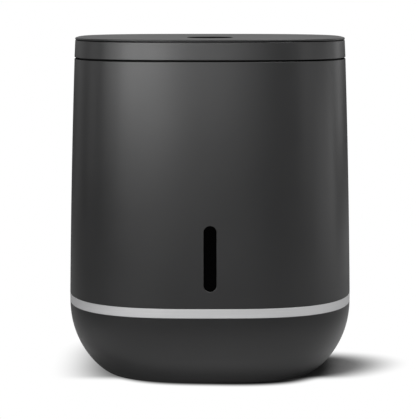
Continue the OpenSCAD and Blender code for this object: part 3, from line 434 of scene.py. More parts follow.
SOCKET_KINDS = {"value": "NodeSocketFloat", "colour": "NodeSocketColor",
                "vector": "NodeSocketVector"}


def effect_group(name, inputs, outputs):
    """An empty node group with named sockets, and its two ends."""
    tree = bpy.data.node_groups.new(name, "ShaderNodeTree")
    for end, sockets in (("INPUT", inputs), ("OUTPUT", outputs)):
        for socket, kind in sockets.items():
            tree.interface.new_socket(socket, in_out=end, socket_type=SOCKET_KINDS[kind])
    return tree, tree.nodes.new("NodeGroupInput").outputs, tree.nodes.new("NodeGroupOutput").inputs


def object_place(tree):
    """Where a point lies on the piece, in metres; it moves with the piece."""
    return add(tree, "TexCoord").outputs["Object"]


def stretched(tree, place, stretch):
    """The place with its X, Y and Z multiplied, which sets how fine a pattern is along each."""
    return add(tree, "VectorMath", {0: place, 1: stretch}, operation="MULTIPLY").outputs[0]


def shaded(tree, colour, shade):
    """The colour made lighter or darker by a factor."""
    return add(tree, "VectorMath", {0: colour, "Scale": shade}, operation="SCALE").outputs[0]


def build_moulded_grain():
    """Fine moulded or sprayed texture, with slow drifts of shade and gloss."""
    tree, given, result = effect_group(
        "moulded_grain",
        {"Colour": "colour", "Shade drift": "value", "Roughness": "value",
         "Gloss drift": "value", "Grain size": "value"},
        {"Colour": "colour", "Roughness": "value", "Height": "value"})
    place = object_place(tree)
    per_metre = maths(tree, "DIVIDE", 1 / MM, given["Grain size"])
    fine = noise(tree, place, per_metre, 2.0, 0.6)
    broad = remap(tree, noise(tree, place, 11.0, 4.0, 0.6), 0.3, 0.7, -1.0, 1.0)
    shade = maths(tree, "MULTIPLY_ADD", broad, given["Shade drift"], 1.0)
    speck = remap(tree, fine, 0.3, 0.7, -0.5, 0.5)
    shade = maths(tree, "MULTIPLY_ADD", speck, given["Shade drift"], shade)
    gloss = maths(tree, "MULTIPLY_ADD", maths(tree, "ADD", broad, speck), given["Gloss drift"],
                  given["Roughness"])
    feed(tree, result["Colour"], shaded(tree, given["Colour"], shade))
    feed(tree, result["Roughness"], gloss)
    feed(tree, result["Height"], fine)
    return tree


def build_brushed_streaks():
    """Fine streaks along a direction, as brushing or rolling leaves them."""
    tree, given, result = effect_group(
        "brushed_streaks",
        {"Place": "vector", "Colour": "colour", "Streak contrast": "value", "Roughness": "value",
         "Gloss drift": "value"},
        {"Colour": "colour", "Roughness": "value", "Height": "value"})
    thin = noise(tree, given["Place"], 1.0, 3.0, 0.7)
    wide = noise(tree, given["Place"], 0.13, 2.0, 0.5)
    both = maths(tree, "MULTIPLY_ADD", thin, 0.65, maths(tree, "MULTIPLY", wide, 0.35))
    streak = remap(tree, both, 0.3, 0.7, -1.0, 1.0)
    shade = maths(tree, "MULTIPLY_ADD", streak, given["Streak contrast"], 1.0)
    feed(tree, result["Colour"], shaded(tree, given["Colour"], shade))
    feed(tree, result["Roughness"],
         maths(tree, "MULTIPLY_ADD", streak, given["Gloss drift"], given["Roughness"]))
    feed(tree, result["Height"], streak)
    return tree


def build_edge_wear():
    """Mask that is 1 on worn edges, broken up by noise."""
    tree, given, result = effect_group(
        "edge_wear", {"Width": "value", "Strength": "value"}, {"Mask": "value"})
    soft = add(tree, "Bevel", {"Radius": given["Width"]}, samples=4).outputs[0]
    plain = add(tree, "NewGeometry").outputs["Normal"]
    facing = add(tree, "VectorMath", {0: soft, 1: plain}, operation="DOT_PRODUCT").outputs["Value"]
    edge = remap(tree, facing, 0.995, 0.86)
    patchy = remap(tree, noise(tree, object_place(tree), 160.0, 4.0, 0.7), 0.4, 0.62)
    feed(tree, result["Mask"],
         maths(tree, "MULTIPLY", maths(tree, "MULTIPLY", edge, patchy), given["Strength"]))
    return tree


def build_flecks():
    """Mask of small scattered flecks."""
    tree, given, result = effect_group(
        "flecks", {"Fleck size": "value", "Share": "value"}, {"Mask": "value"})
    per_metre = maths(tree, "DIVIDE", 1 / MM, given["Fleck size"])
    cells = add(tree, "TexVoronoi", {"Vector": object_place(tree), "Scale": per_metre})
    chance = add(tree, "SeparateColor", {0: cells.outputs["Color"]}).outputs[0]
    chosen = maths(tree, "LESS_THAN", chance, given["Share"])
    near = remap(tree, cells.outputs["Distance"], 0.42, 0.3)
    feed(tree, result["Mask"], maths(tree, "MULTIPLY", chosen, near))
    return tree


GRAIN = build_moulded_grain()
STREAKS = build_brushed_streaks()
WEAR = build_edge_wear()
FLECKS = build_flecks()


def use_group(tree, group, inputs):
    made = tree.nodes.new("ShaderNodeGroup")
    made.node_tree = group
    for name, value in inputs.items():
        feed(tree, made.inputs[name], value)
    return made.outputs


def bump(tree, height, distance_mm, strength=1.0):
    return add(tree, "Bump", {"Height": height, "Distance": distance_mm * MM,
                              "Strength": strength}).outputs[0]


def new_finish(name):
    """An empty material, its tree and its Principled shader."""
    made = bpy.data.materials.new(name)
    made.use_nodes = True
    return made, made.node_tree, made.node_tree.nodes["Principled BSDF"].inputs


def opaque(colour, factor=1.0):
    """The colour, made lighter or darker, with full alpha."""
    return (*(min(1, factor * c) for c in colour), 1.0)


def dress(tree, shader, colour, roughness, normal):
    feed(tree, shader["Base Color"], colour)
    feed(tree, shader["Roughness"], roughness)
    feed(tree, shader["Normal"], normal)


def grained(tree, colour, roughness, size, drift, gloss):
    """The outputs of the moulded grain for a colour."""
    return use_group(tree, GRAIN, {"Colour": opaque(colour), "Shade drift": drift,
                                   "Roughness": roughness, "Gloss drift": gloss,
                                   "Grain size": size})


def moulded(name, colour, roughness, grain=0.35, relief=0.01, drift=0.05, specular=0.5, coat=0.0,
            sheen=0.0):
    """Moulded plastic, paint or rubber."""
    made, tree, shader = new_finish(name)
    given = grained(tree, colour, roughness, grain, drift, gloss=0.03)
    dress(tree, shader, given["Colour"], given["Roughness"], bump(tree, given["Height"], relief))
    shader["Specular IOR Level"].default_value = specular
    shader["Coat Weight"].default_value = coat
    shader["Coat Roughness"].default_value = 0.12
    shader["Sheen Weight"].default_value = sheen
    return made


def streaked(name, colour, roughness, stretch, contrast=0.1, gloss=0.06, relief=0.004,
             around=False, wear=0.0, metallic=1.0):
    """Metal with brushing or rolling marks; stretch is the streaks' fineness along X, Y and Z."""
    made, tree, shader = new_finish(name)
    place = object_place(tree)
    if around:
        parts = add(tree, "SeparateXYZ", {0: place}).outputs
        turn = maths(tree, "ARCTAN2", parts[1], parts[0])
        place = add(tree, "CombineXYZ", {0: turn, 1: 0.0, 2: parts[2]}).outputs[0]
    given = use_group(tree, STREAKS, {
        "Place": stretched(tree, place, stretch), "Colour": opaque(colour),
        "Streak contrast": contrast, "Roughness": roughness, "Gloss drift": gloss})
    surface = given["Colour"]
    if wear:
        worn = use_group(tree, WEAR, {"Width": 0.0006, "Strength": wear})["Mask"]
        surface = mix_colours(tree, worn, surface, (0.85, 0.85, 0.86, 1.0))
    dress(tree, shader, surface, given["Roughness"], bump(tree, given["Height"], relief))
    shader["Metallic"].default_value = metallic
    return made


def cast_metal(name, colour, roughness, pit=0.5, relief=0.03):
    """Cast or sintered metal with a pitted skin and brighter edges."""
    made, tree, shader = new_finish(name)
    given = grained(tree, colour, roughness, pit, drift=0.12, gloss=0.08)
    worn = use_group(tree, WEAR, {"Width": 0.0009, "Strength": 0.7})["Mask"]
    dress(tree, shader, mix_colours(tree, worn, given["Colour"], opaque(colour, 1.4)),
          given["Roughness"], bump(tree, given["Height"], relief))
    shader["Metallic"].default_value = 1.0
    return made


def flecked_coating(name, colour, fleck_colour, roughness):
    """Non-stick coating with fine light flecks."""
    made, tree, shader = new_finish(name)
    given = grained(tree, colour, roughness, size=0.8, drift=0.08, gloss=0.05)
    flecks = use_group(tree, FLECKS, {"Fleck size": 1.1, "Share": 0.16})["Mask"]
    dress(tree, shader, mix_colours(tree, flecks, given["Colour"], opaque(fleck_colour)),
          given["Roughness"], bump(tree, given["Height"], 0.02))
    return made


def felted(name, colour):
    """Needled felt: long fibres over a cloudy ground."""
    made, tree, shader = new_finish(name)
    place = object_place(tree)
    fibres = noise(tree, stretched(tree, place, (900.0, 900.0, 260.0)), 1.0, 4.0, 0.8)
    cloud = noise(tree, place, 45.0, 3.0)
    shade = maths(tree, "MULTIPLY_ADD", fibres, 0.7, maths(tree, "MULTIPLY", cloud, 0.5))
    light = remap(tree, shade, 0.4, 0.8)
    dress(tree, shader, mix_colours(tree, light, opaque(colour, 0.6), opaque(colour)),
          remap(tree, fibres, 0.2, 0.8, 0.85, 1.0), bump(tree, fibres, 0.5, 0.8))
    shader["Sheen Weight"].default_value = 0.4
    return made


def granular(name, colour):
    """Packed carbon grains."""
    made, tree, shader = new_finish(name)
    cells = add(tree, "TexVoronoi", {"Vector": object_place(tree), "Scale": 420.0}).outputs
    tone = add(tree, "SeparateColor", {0: cells["Color"]}).outputs[0]
    dress(tree, shader, mix_colours(tree, tone, opaque(colour, 0.5), opaque(colour, 2.6)),
          remap(tree, tone, 0.0, 1.0, 0.35, 0.9), bump(tree, cells["Distance"], -1.2, 0.9))
    return made


def solder_mask(name, colour):
    """Circuit board: glossy green with lighter tracks that run along the board's axes."""
    made, tree, shader = new_finish(name)
    place = stretched(tree, object_place(tree), (260.0, 260.0, 260.0))
    cells = add(tree, "TexBrick", {"Vector": place, "Scale": 1.0, "Mortar Size": 0.08,
                                   "Brick Width": 2.3, "Row Height": 0.7}, offset=0.37).outputs
    tracks = maths(tree, "SUBTRACT", 1.0, cells["Fac"])
    wander = noise(tree, place, 0.35, 1.0)
    broken = maths(tree, "MULTIPLY", tracks, remap(tree, wander, 0.45, 0.5))
    dress(tree, shader, mix_colours(tree, broken, opaque(colour, 1.9), opaque(colour)),
          remap(tree, wander, 0.0, 1.0, 0.22, 0.34), bump(tree, broken, 0.03))
    shader["Coat Weight"].default_value = 0.5
    return made


def smoked(name, colour):
    """Dark glossy window with the faintest haze."""
    made, tree, shader = new_finish(name)
    haze = noise(tree, object_place(tree), 60.0, 3.0)
    feed(tree, shader["Base Color"],
         mix_colours(tree, haze, opaque(colour), opaque(colour, 1.6)))
    feed(tree, shader["Roughness"], remap(tree, haze, 0.2, 0.8, 0.16, 0.22))
    shader["Specular IOR Level"].default_value = 0.02
    return made


def milky(name, colour):
    """Translucent white diffuser."""
    made, tree, shader = new_finish(name)
    cloud = noise(tree, object_place(tree), 90.0, 2.0)
    feed(tree, shader["Base Color"],
         mix_colours(tree, cloud, opaque(colour, 0.94), opaque(colour)))
    feed(tree, shader["Roughness"], remap(tree, cloud, 0.2, 0.8, 0.3, 0.4))
    shader["Subsurface Weight"].default_value = 0.4
    shader["Subsurface Radius"].default_value = (0.003, 0.003, 0.003)
    return made


PAINT = (0.015, 0.0151, 0.0155)
FINISHES = {finish.name: finish for finish in [
    moulded("body_paint", PAINT, 0.34, grain=0.32, relief=0.004),
    # The lid's paints are copies of the body paint: the side's is a little lighter, painted light
    # for its brighter highlight, and the top's is darker, painted shade against the light that
    # falls on the top
    moulded("lid_paint", (0.017, 0.0171, 0.0175), 0.33, grain=0.32, relief=0.004),
    moulded("lid_top_paint", (0.013, 0.0131, 0.0135), 0.36, grain=0.32, relief=0.004,
            specular=0.36),
    moulded("base_plastic", (0.007, 0.0071, 0.0074), 0.34, grain=0.4, relief=0.006),
    streaked("satin_band", (0.54, 0.54, 0.546), 0.5, (14.0, 1.0, 5200.0), 0.07, 0.05, 0.003,
             around=True, metallic=0.45),
    moulded("black_plastic", (0.003, 0.003, 0.003), 0.6, specular=0.08),
    moulded("button_plastic", (0.012, 0.012, 0.0125), 0.35, grain=0.25, relief=0.004),
    smoked("smoked_window", (0.0004, 0.0004, 0.00045)),
    moulded("black_rubber", (0.014, 0.014, 0.014), 0.85, grain=0.6, relief=0.03, drift=0.15,
            sheen=0.15),
    moulded("inner_plastic", (0.05, 0.05, 0.052), 0.5, grain=0.45, relief=0.015),
    streaked("plated_steel", (0.62, 0.62, 0.63), 0.24, (900.0, 900.0, 160.0), 0.08, wear=0.4),
    streaked("sheet_steel", (0.55, 0.56, 0.57), 0.36, (60.0, 2600.0, 60.0)),
    moulded("dark_steel", (0.045, 0.045, 0.047), 0.48, grain=0.3, drift=0.12),
    streaked("element_steel", (0.3, 0.26, 0.22), 0.42, (500.0, 500.0, 500.0), 0.25),
    streaked("motor_steel", (0.42, 0.43, 0.44), 0.33, (300.0, 300.0, 4200.0), 0.09, wear=0.3),
    cast_metal("cast_aluminium", (0.58, 0.58, 0.6), 0.42),
    flecked_coating("bucket_coating", (0.03, 0.03, 0.032), (0.26, 0.26, 0.27), 0.34),
    moulded("grey_silicone", (0.4, 0.4, 0.41), 0.6, grain=0.9, sheen=0.2),
    felted("felt", (0.62, 0.59, 0.52)),
    moulded("white_plastic", (0.68, 0.67, 0.63), 0.4, grain=0.5, drift=0.03),
    moulded("gearbox_plastic", (0.035, 0.04, 0.05), 0.5, grain=0.7, relief=0.02, drift=0.16),
    moulded("gear_plastic", (0.66, 0.6, 0.44), 0.36, grain=0.6, drift=0.03, coat=0.1),
    cast_metal("bronze", (0.55, 0.4, 0.2), 0.36, pit=0.25, relief=0.01),
    solder_mask("board_green", (0.02, 0.1, 0.045)),
    moulded("board_parts", (0.05, 0.05, 0.06), 0.4, grain=0.3),
    milky("diffuser", (0.72, 0.73, 0.72)),
    moulded("cable_jacket", (0.25, 0.03, 0.03), 0.55, grain=0.8),
    granular("carbon", (0.015, 0.015, 0.015)),
]}

# ---- Pieces ----

# Corners sharper than these angles stay crisp on smooth pieces, or are rounded by a bevel
CREASE_ANGLE = math.radians(38)
BEVEL_ANGLE = math.radians(40)


def piece(name, shape, slot, body, stands_for, bevel=0.0):
    """A finished piece that rides on a body and stands for CAD nodes."""
    mesh = bpy.data.meshes.new(name)
    mesh.from_pydata([Vector(p) * MM for p in shape[0]], [], shape[1])
    straighten(mesh)
    mesh.materials.append(FINISHES[slot])
    mesh.shade_smooth()
    made = new_object(name, mesh)
    if bevel:
        round_edges(made, bevel)
    else:
        mesh.set_sharp_from_angle(angle=CREASE_ANGLE)
        weigh_normals(made, keep_sharp=True)
    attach(made, body)
    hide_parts(*stands_for)
    return made


def second_finish(made, slot, chosen):
    """Gives another finish to the faces that chosen picks by their middle, in mm, and normal."""
    made.data.materials.append(FINISHES[slot])
    place = made.matrix_world
    for face in made.data.polygons:
        if chosen(place @ face.center / MM, place.to_3x3() @ face.normal):
            face.material_index = len(made.data.materials) - 1


def round_edges(made, width):
    """Rounds the sharp edges by a bevel of this width in millimetres."""
    weld = made.modifiers.new("weld", "WELD")
    weld.merge_threshold = 0.002 * MM
    bevel = made.modifiers.new("bevel", "BEVEL")
    bevel.width = width * MM
    bevel.segments = 3
    bevel.limit_method = "ANGLE"
    bevel.angle_limit = BEVEL_ANGLE
    bevel.use_clamp_overlap = True
    weigh_normals(made, keep_sharp=False)


def weigh_normals(made, keep_sharp):
    weighted = made.modifiers.new("normals", "WEIGHTED_NORMAL")
    weighted.mode = "FACE_AREA"
    weighted.weight = 100
    weighted.keep_sharp = keep_sharp


def outer_shell():
    """Tall shell with the slot in front, whose lip is rounded, and two openings in its back."""
    outside = [(shell_half(z), z) for z in steps(SHELL_LOW, SHELL_HIGH, HEIGHT_STEPS)]
    outside[0] += (EDGE_ROUND,)
    outside[-1] += (EDGE_ROUND,)
    inside = [(shell_half(z) - WALL, z) for z in steps(SHELL_HIGH, SHELL_LOW, 8)]
    lip = [SLOT_ROUND * (1 - math.cos(a)) for a in steps(0, math.pi / 2, 6)[1:]]
    slot_cut = []
    for depth in [-CLEAR, *lip, WALL + CLEAR]:
        to_flat = 1 - min(1, depth / SLOT_ROUND)
        grow = SLOT_ROUND * (1 - math.sqrt(1 - to_flat**2)) if depth > 0 else SLOT_MOUTH
        outline = stadium(SLOT_WIDTH + 2 * grow, SLOT_LENGTH + 2 * grow)
        slot_cut.append([(x, -shell_half(SLOT_MIDDLE + z) + depth, SLOT_MIDDLE + z)
                         for x, z in outline])
    width, height = 2 * (CAP_HIGH.x + OPENING_GAP), CAP_HIGH.z - CAP_LOW.z + 2 * OPENING_GAP
    filter_cut = back_bar(width, height, 2.5, CAP_LOW.y - 8, CAP_MIDDLE, length=40)
    notch = back_bar(NOTCH_WIDTH, NOTCH_HEIGHT, NOTCH_ROUND, HINGE_Y - 20,
                     NOTCH_LOW + NOTCH_HEIGHT / 2, length=50)
    shape = carved(plan_skin(soften(outside + inside), loop=True),
                   [skin(slot_cut), filter_cut, notch])
    made = piece("body_shell", shape, "body_paint", "body", ["outer_shell"])
    # Painted shade: the shell's top rim at the seam is black
    second_finish(made, "black_plastic", lambda at, normal: at.z > SHELL_HIGH - PAINTED_SHADE_RIM)


def trim_band():
    profile = soften([(BODY_HALF, BAND_LOW, 0.3), (BODY_HALF, SHELL_LOW, 0.3),
                      (BODY_HALF - WALL, SHELL_LOW), (BODY_HALF - WALL, BAND_LOW)])
    piece("silver_band", plan_skin(profile, loop=True), "satin_band", "body", ["trim_band"])


def base_bowl():
    """Bowl with a lip inside the band, vents and holes in its floor, bosses and an inlet pocket."""
    lip = BODY_HALF - WALL - FIT
    floor_top = BOWL_LOW + BOWL_FLOOR
    outside = [(bowl_half(z), z) for z in steps(BOWL_LOW, BAND_LOW, 36, 2.4)]
    inside = [(bowl_inner(z), z) for z in steps(BAND_LOW - 12, floor_top, 14)]
    lip_top = SHELL_LOW + LIP_HEIGHT
    profile = [(HUB_RING, BOWL_LOW), (MID_RING, BOWL_LOW), *outside[:-1], (*outside[-1], 0.4),
               (lip, BAND_LOW), (lip, lip_top), (lip - LIP_WALL, lip_top),
               (lip - LIP_WALL, BAND_LOW - LIP_FOOT), *inside, (MID_RING, floor_top),
               (HUB_RING, floor_top)]
    vents = [moved(slab(lambda inset: rounded(VENT_LENGTH, 3, 1.49), 0, BOWL_FLOOR + 4),
                   0, VENT_PITCH * i + VENT_MIDDLE, BOWL_LOW - 2) for i in range(-4, 5)]
    pocket = back_bar(INLET_WIDTH, INLET_HEIGHT, 2, INLET_FACE - 4, INLET_Z)
    hole = STEM_RADIUS + 0.05
    stems = [turned([(hole, BOWL_LOW - 2), (hole, floor_top + 2)], x, y, count=32)
             for x, y in four(FOOT_SPOT, FOOT_SPOT)]
    bosses = [boss(2.1, 5.5, BOWL_LOW + 1, CHASSIS_LOW, x, y) for x, y in four(BOSS_X, BOSS_Y)]
    shape = carved(carved(plan_skin(soften(profile)), bosses, "UNION"), [*vents, *stems, pocket])
    piece("bowl", shape, "base_plastic", "body", ["base_bowl"])


def feet():
    """Four pads with a dished sole, each on a stem that is pushed through the bowl's floor."""
    inside = BOWL_LOW + BOWL_FLOOR
    profile = soften([(0, 0.5), (8.2, 0.5, 0.4), (8.8, 0, 0.3), (11, 0, 0.5), (11, BOWL_LOW),
                      (STEM_RADIUS, BOWL_LOW), (STEM_RADIUS, inside), (3.8, inside, 0.3),
                      (2.6, inside + 1.5, 0.5), (0, inside + 1.5)])
    shape = joined(*(turned(profile, x, y, count=64) for x, y in four(FOOT_SPOT, FOOT_SPOT)))
    piece("feet", shape, "black_rubber", "body", ["rubber_feet"])


def lid_side():
    """Rim and web of the lid, with screw bosses under the web."""
    outside = [(lid_half(z), z) for z in steps(LID_LOW, LID_HIGH, 6)]
    web_low = LID_HIGH - LID_WALL
    profile = [(HUB_RING, web_low), (MID_RING, web_low),
               (lid_half(LID_HIGH) - LID_WALL, web_low, 1.0),
               (lid_half(LID_LOW) - LID_WALL, LID_LOW), (*outside[0], 0.5), *outside[1:-1],
               (*outside[-1], EDGE_ROUND), (MID_RING, LID_HIGH), (HUB_RING, LID_HIGH)]
    cup = moved(slab(stadium_inset(CUP_WIDTH, CUP_LENGTH), 0, 40, 0.01), 0, CUP_Y, web_low - 10)
    notch = back_bar(NOTCH_WIDTH, NOTCH_HEIGHT, NOTCH_ROUND, HINGE_Y - 8,
                     NOTCH_HIGH - NOTCH_HEIGHT / 2, length=40)
    bosses = [boss(1.5, 4.5, TRAY_LOW + TRAY_WALL, web_low + 1, x, y)
              for x, y in four(LID_SCREW_SPOT, LID_SCREW_SPOT)]
    shape = carved(carved(plan_skin(soften(profile)), [cup, notch]), bosses, "UNION")
    made = piece("lid_side", shape, "lid_paint", "lid", ["lid_shell"])
    # Painted shade: the lid's bottom rim at the seam is black
    second_finish(made, "black_plastic", lambda at, normal: at.z < LID_LOW + PAINTED_SHADE_RIM)


def lid_plate():
    """Flat plate on the lid, on a step that leaves a dark line under its edge: a real gap whose
    faces are black as painted shade.
    """
    half = lid_half(PLATE_LOW)
    step = half - 4
    profile = soften([(HUB_RING, LID_HIGH), (MID_RING, LID_HIGH), (step, LID_HIGH),
                      (step, PLATE_LOW), (half, PLATE_LOW, 0.3), (half, TOP, 0.9),
                      (MID_RING, TOP), (HUB_RING, TOP)], 6)
    hole = flared_hole(stadium_inset(CUP_WIDTH, CUP_LENGTH), TOP, LID_HIGH - 2, EDGE_ROUND)
    shape = carved(plan_skin(profile), [moved(hole, 0, CUP_Y)])
    made = piece("lid_plate", shape, "lid_top_paint", "lid", ["lid_top_plate"])
    # Painted shade: the step and the plate's underside in the gap are black
    second_finish(made, "black_plastic", lambda at, normal: at.z < PLATE_LOW + PAINTED_SHADE_RIM)


def recess():
    """Black cup in the lid; its rim is nearly flush with the plate."""
    outline = stadium_inset(CUP_WIDTH, CUP_LENGTH)
    under, rim = CUP_FLOOR - CUP_WALL, TOP - 0.12
    profile = soften([(20, under), (0, under, 0.6), (0, rim, 0.3), (CUP_WALL, rim, 0.5),
                      (CUP_WALL, CUP_FLOOR, 3.0), (20, CUP_FLOOR)], 6)
    cup = skin([[(x, CUP_Y + y, z) for x, y in outline(inset)] for inset, z in profile])
    radius = BUTTON_RADIUS + FIT
    hole = turned([(radius, under - 2), (radius, CUP_FLOOR + 2)], 0, CUP_Y)
    piece("recess", carved(cup, [hole]), "black_plastic", "lid", ["grip_cup"])


def button_cap():
    """Start button: a dished cap on its flange and stem."""
    flange_top = CUP_FLOOR - CUP_WALL - 0.4
    flange_low, flange_edge = flange_top - BUTTON_FLANGE, BUTTON_RADIUS + 1.5
    stem = low("start_button").z
    dish = [(r, BUTTON_TOP - 0.7 * (1 - (r / 9.4) ** 2)) for r in steps(9.4, 0, 8)]
    profile = soften([(0, stem), (2.2, stem, 0.4), (2.2, flange_low),
                      (flange_edge, flange_low, 0.3), (flange_edge, flange_top, 0.3),
                      (BUTTON_RADIUS, flange_top), (BUTTON_RADIUS, BUTTON_TOP, 0.8), *dish])
    shape = turned(profile, 0, CUP_Y)
    piece("button_cap", shape, "button_plastic", "start_button", ["start_button"])


def window():
    """Window that fills the slot, with a flange behind the wall."""
    face, back = low("slot_window").y, high("slot_window").y
    seat = -(shell_half(SLOT_MIDDLE + SLOT_LENGTH / 2) - WALL - FIT)
    plug_back = seat + 0.2
    outline = stadium_inset(SLOT_WIDTH - 2 * FIT, SLOT_LENGTH - 2 * FIT)
    plug = slab(outline, 0, plug_back - face, 0.4)
    flange = slab(stadium_inset(SLOT_WIDTH + 5, SLOT_LENGTH + 5), 0, back - seat)
    shape = carved(moved(plug, 0, plug_back, SLOT_MIDDLE, TO_FRONT),
                   [moved(flange, 0, back, SLOT_MIDDLE, TO_FRONT)], "UNION")
    piece("window", shape, "smoked_window", "body", ["slot_window"])


def grille_cap():
    """Filter cap that follows the shell, with a grille of rounded slots."""
    width, height = 2 * CAP_HIGH.x, CAP_HIGH.z - CAP_LOW.z
    heights = steps(CAP_LOW.z - CLEAR, CAP_HIGH.z + CLEAR, 14)
    solid = plan_skin([(shell_half(z), z) for z in heights])
    hollow = plan_skin([(shell_half(z) - WALL, z) for z in heights])
    outer = back_bar(width, height, 2, CAP_LOW.y, CAP_MIDDLE, length=40)
    inner = back_bar(width - 8, height - 8, 1.5, CAP_LOW.y - 20, CAP_MIDDLE)
    slots = [back_bar(CAP_SLOT_LENGTH, 3, 1.49, CAP_LOW.y - 20,
                      CAP_MIDDLE + (i - (CAP_SLOTS - 1) / 2) * CAP_SLOT_PITCH)
             for i in range(CAP_SLOTS)]
    shape = carved(solid, [outer], "INTERSECT")
    shape = carved(shape, [carved(hollow, [inner], "INTERSECT"), *slots])
    piece("grille_cap", shape, "body_paint", "filter", ["filter_cap"], bevel=0.4)


def mains_inlet():
    """Flush inlet with a flat-bottomed pocket round its socket."""
    reach = INLET_HEIGHT / 2 + 4
    solid = plan_skin([(bowl_half(z), z) for z in steps(INLET_Z - reach, INLET_Z + reach, 20)])
    outer = back_bar(INLET_WIDTH - 2 * FIT, INLET_HEIGHT - 2 * FIT, 1.8, INLET_FRONT, INLET_Z)
    pocket = back_bar(INLET_WIDTH - 4, INLET_HEIGHT - 4, 1.2, INLET_FACE, INLET_Z)
    w, h, cut = SOCKET_WIDTH / 2, SOCKET_HEIGHT / 2, 4
    outline = [(-w, -h), (w, -h), (w, h - cut), (w - cut, h), (-w + cut, h), (-w, h - cut)]
    socket = moved(skin([level(outline, 0), level(outline, 60)]),
                   0, INLET_FACE - SOCKET_DEPTH, INLET_Z, TO_BACK)
    shape = carved(carved(solid, [outer], "INTERSECT"), [pocket, socket])
    piece("inlet", shape, "black_plastic", "body", ["mains_inlet"], bevel=0.3)


def bucket_pot():
    """Removable bucket with a rolled rim and two grip lobes."""
    outer = BUCKET_RADIUS + BUCKET_WALL
    floor = BUCKET_LOW + BUCKET_WALL
    flange_low = RIM_Z - FLANGE_HEIGHT
    profile = soften([
        (BUSH_HOLE, BUCKET_LOW, 0.5), (outer, BUCKET_LOW, 8), (outer, flange_low, 0.8),
        (outer + FLANGE_WIDTH, flange_low, 0.9), (outer + FLANGE_WIDTH, RIM_Z, 1.4),
        (BUCKET_RADIUS, RIM_Z, 1.6), (BUCKET_RADIUS, floor, 7), (BUSH_HOLE, floor, 0.5)], 7)
    lobe = slab(lambda inset: rounded(LOBE_REACH - 2 * inset, LOBE_WIDTH - 2 * inset, 7 - inset),
                flange_low, RIM_Z, 1.1)
    lobes = [moved(lobe, side * (BUCKET_RADIUS + BUCKET_WALL / 2 + LOBE_REACH / 2))
             for side in (-1, 1)]
    shape = carved(turned(profile, loop=True, count=160), lobes, "UNION")
    piece("bucket_pot", moved(shape, 0, BUCKET_Y), "bucket_coating", "body", ["bucket"])


def stirring_arm(reach, z, turn):
    """Swept arm with soft edges, from inside the hub to a blunt tip."""
    stations = [(i / 16, 0.0) for i in range(15)]
    stations += [(1 - ARM_TIP * (1 - math.sin(a)) / reach, ARM_TIP * (1 - math.cos(a)))
                 for a in steps(0, 1.35, 5)]
    root = HUB_RADIUS - 3
    rings = []
    for share, inset in stations:
        radius = root + share * (reach - root)
        angle = math.radians(turn + ARM_SWEEP * share**2)
        c, s = math.cos(angle), math.sin(angle)
        width = ARM_WIDTH - ARM_TAPER * share - 2 * inset
        section = rounded(width, ARM_HEIGHT - 2 * inset, 3.2 - 0.6 * inset, 5)
        rings.append([(radius * c - u * s, BUCKET_Y + radius * s + u * c, z + ARM_HEIGHT / 2 + v)
                      for u, v in section])
    return skin(rings)


def rotor():
    """Cast stirring rotor: a hub over the hexagon of the shaft, two low arms and two high ones."""
    profile = [(0, HUB_LOW), (HUB_RADIUS, HUB_LOW, 0.8), (HUB_RADIUS, HUB_TOP), (0, HUB_TOP)]
    hub = turned(soften(profile), 0, BUCKET_Y)
    arms = [stirring_arm(BUCKET_RADIUS - gap, z, turn + half_turn)
            for gap, z, turn in ((4, LOW_ARM_Z, 0), (8, HIGH_ARM_Z, 80)) for half_turn in (0, 180)]
    socket = turned([(HUB_SOCKET_RADIUS, HUB_LOW - 2), (HUB_SOCKET_RADIUS, HUB_LOW + 30.2)],
                    0, BUCKET_Y, count=6)
    shape = carved(carved(hub, arms, "UNION"), [socket])
    piece("rotor", shape, "cast_aluminium", "rotor", ["drive_rotor"])


def rotor_knob():
    """Scooped cap on the hub."""
    top = high("rotor_cap").z
    profile = soften([(0, HUB_TOP), (HUB_RADIUS, HUB_TOP, 0.3), (HUB_RADIUS, top - 3.2, 2.2),
                      (7, top, 2.5), (4.2, top, 0.6), (3, top - 0.7, 0.8), (0, top - 0.7)])
    piece("rotor_knob", turned(profile, 0, BUCKET_Y), "black_plastic", "rotor", ["rotor_cap"])


def screw(x, y, z, shank, length, head, height, flip=1):
    """Pan-head screw with a hexagon socket; its head rests on z and its shank runs down or up."""
    profile = soften([(0, height), (head, height, 0.9), (head, 0, 0.2), (shank, 0), (shank, -1.2)])
    root = shank - THREAD_DEPTH
    for i in range(int((length - 2) / THREAD_PITCH)):
        fall = -1.4 - THREAD_PITCH * i
        profile += [(root, fall), (shank, fall - THREAD_PITCH / 2)]
    profile += [(root, -length + 0.4), (shank - 0.8, -length), (0, -length)]
    socket = turned([(0.5 * head, 0.35 * height), (0.5 * head, height + 1)], count=6)
    shape = carved(turned([(r, flip * h) for r, h in profile], count=36),
                   [([(a, b, flip * c) for a, b, c in socket[0]], socket[1])])
    return moved(shape, x, y, z)


def screws():
    """Screws of the case, heads up, and of the lid, heads down."""
    places = [(x, y, CHASSIS_TOP) for x, y in four(BOSS_X, BOSS_Y)]
    places += [(x, y, DECK_TOP) for x, y in four(POST_SPOT, POST_SPOT)]
    case = [screw(x, y, z, shank=2, length=12, head=3.6, height=2.4) for x, y, z in places]
    piece("case_fixings", joined(*case), "plated_steel", "body", ["case_screws"])
    lid = [screw(x, y, TRAY_LOW, shank=1.49, length=10, head=2.9, height=2, flip=-1)
           for x, y in four(LID_SCREW_SPOT, LID_SCREW_SPOT)]
    piece("lid_fixings", joined(*lid), "plated_steel", "lid", ["lid_screws"])


for build in (outer_shell, trim_band, base_bowl, feet, lid_side, lid_plate, recess, button_cap,
              window, grille_cap, mains_inlet, bucket_pot, rotor, rotor_knob, screws):
    build()

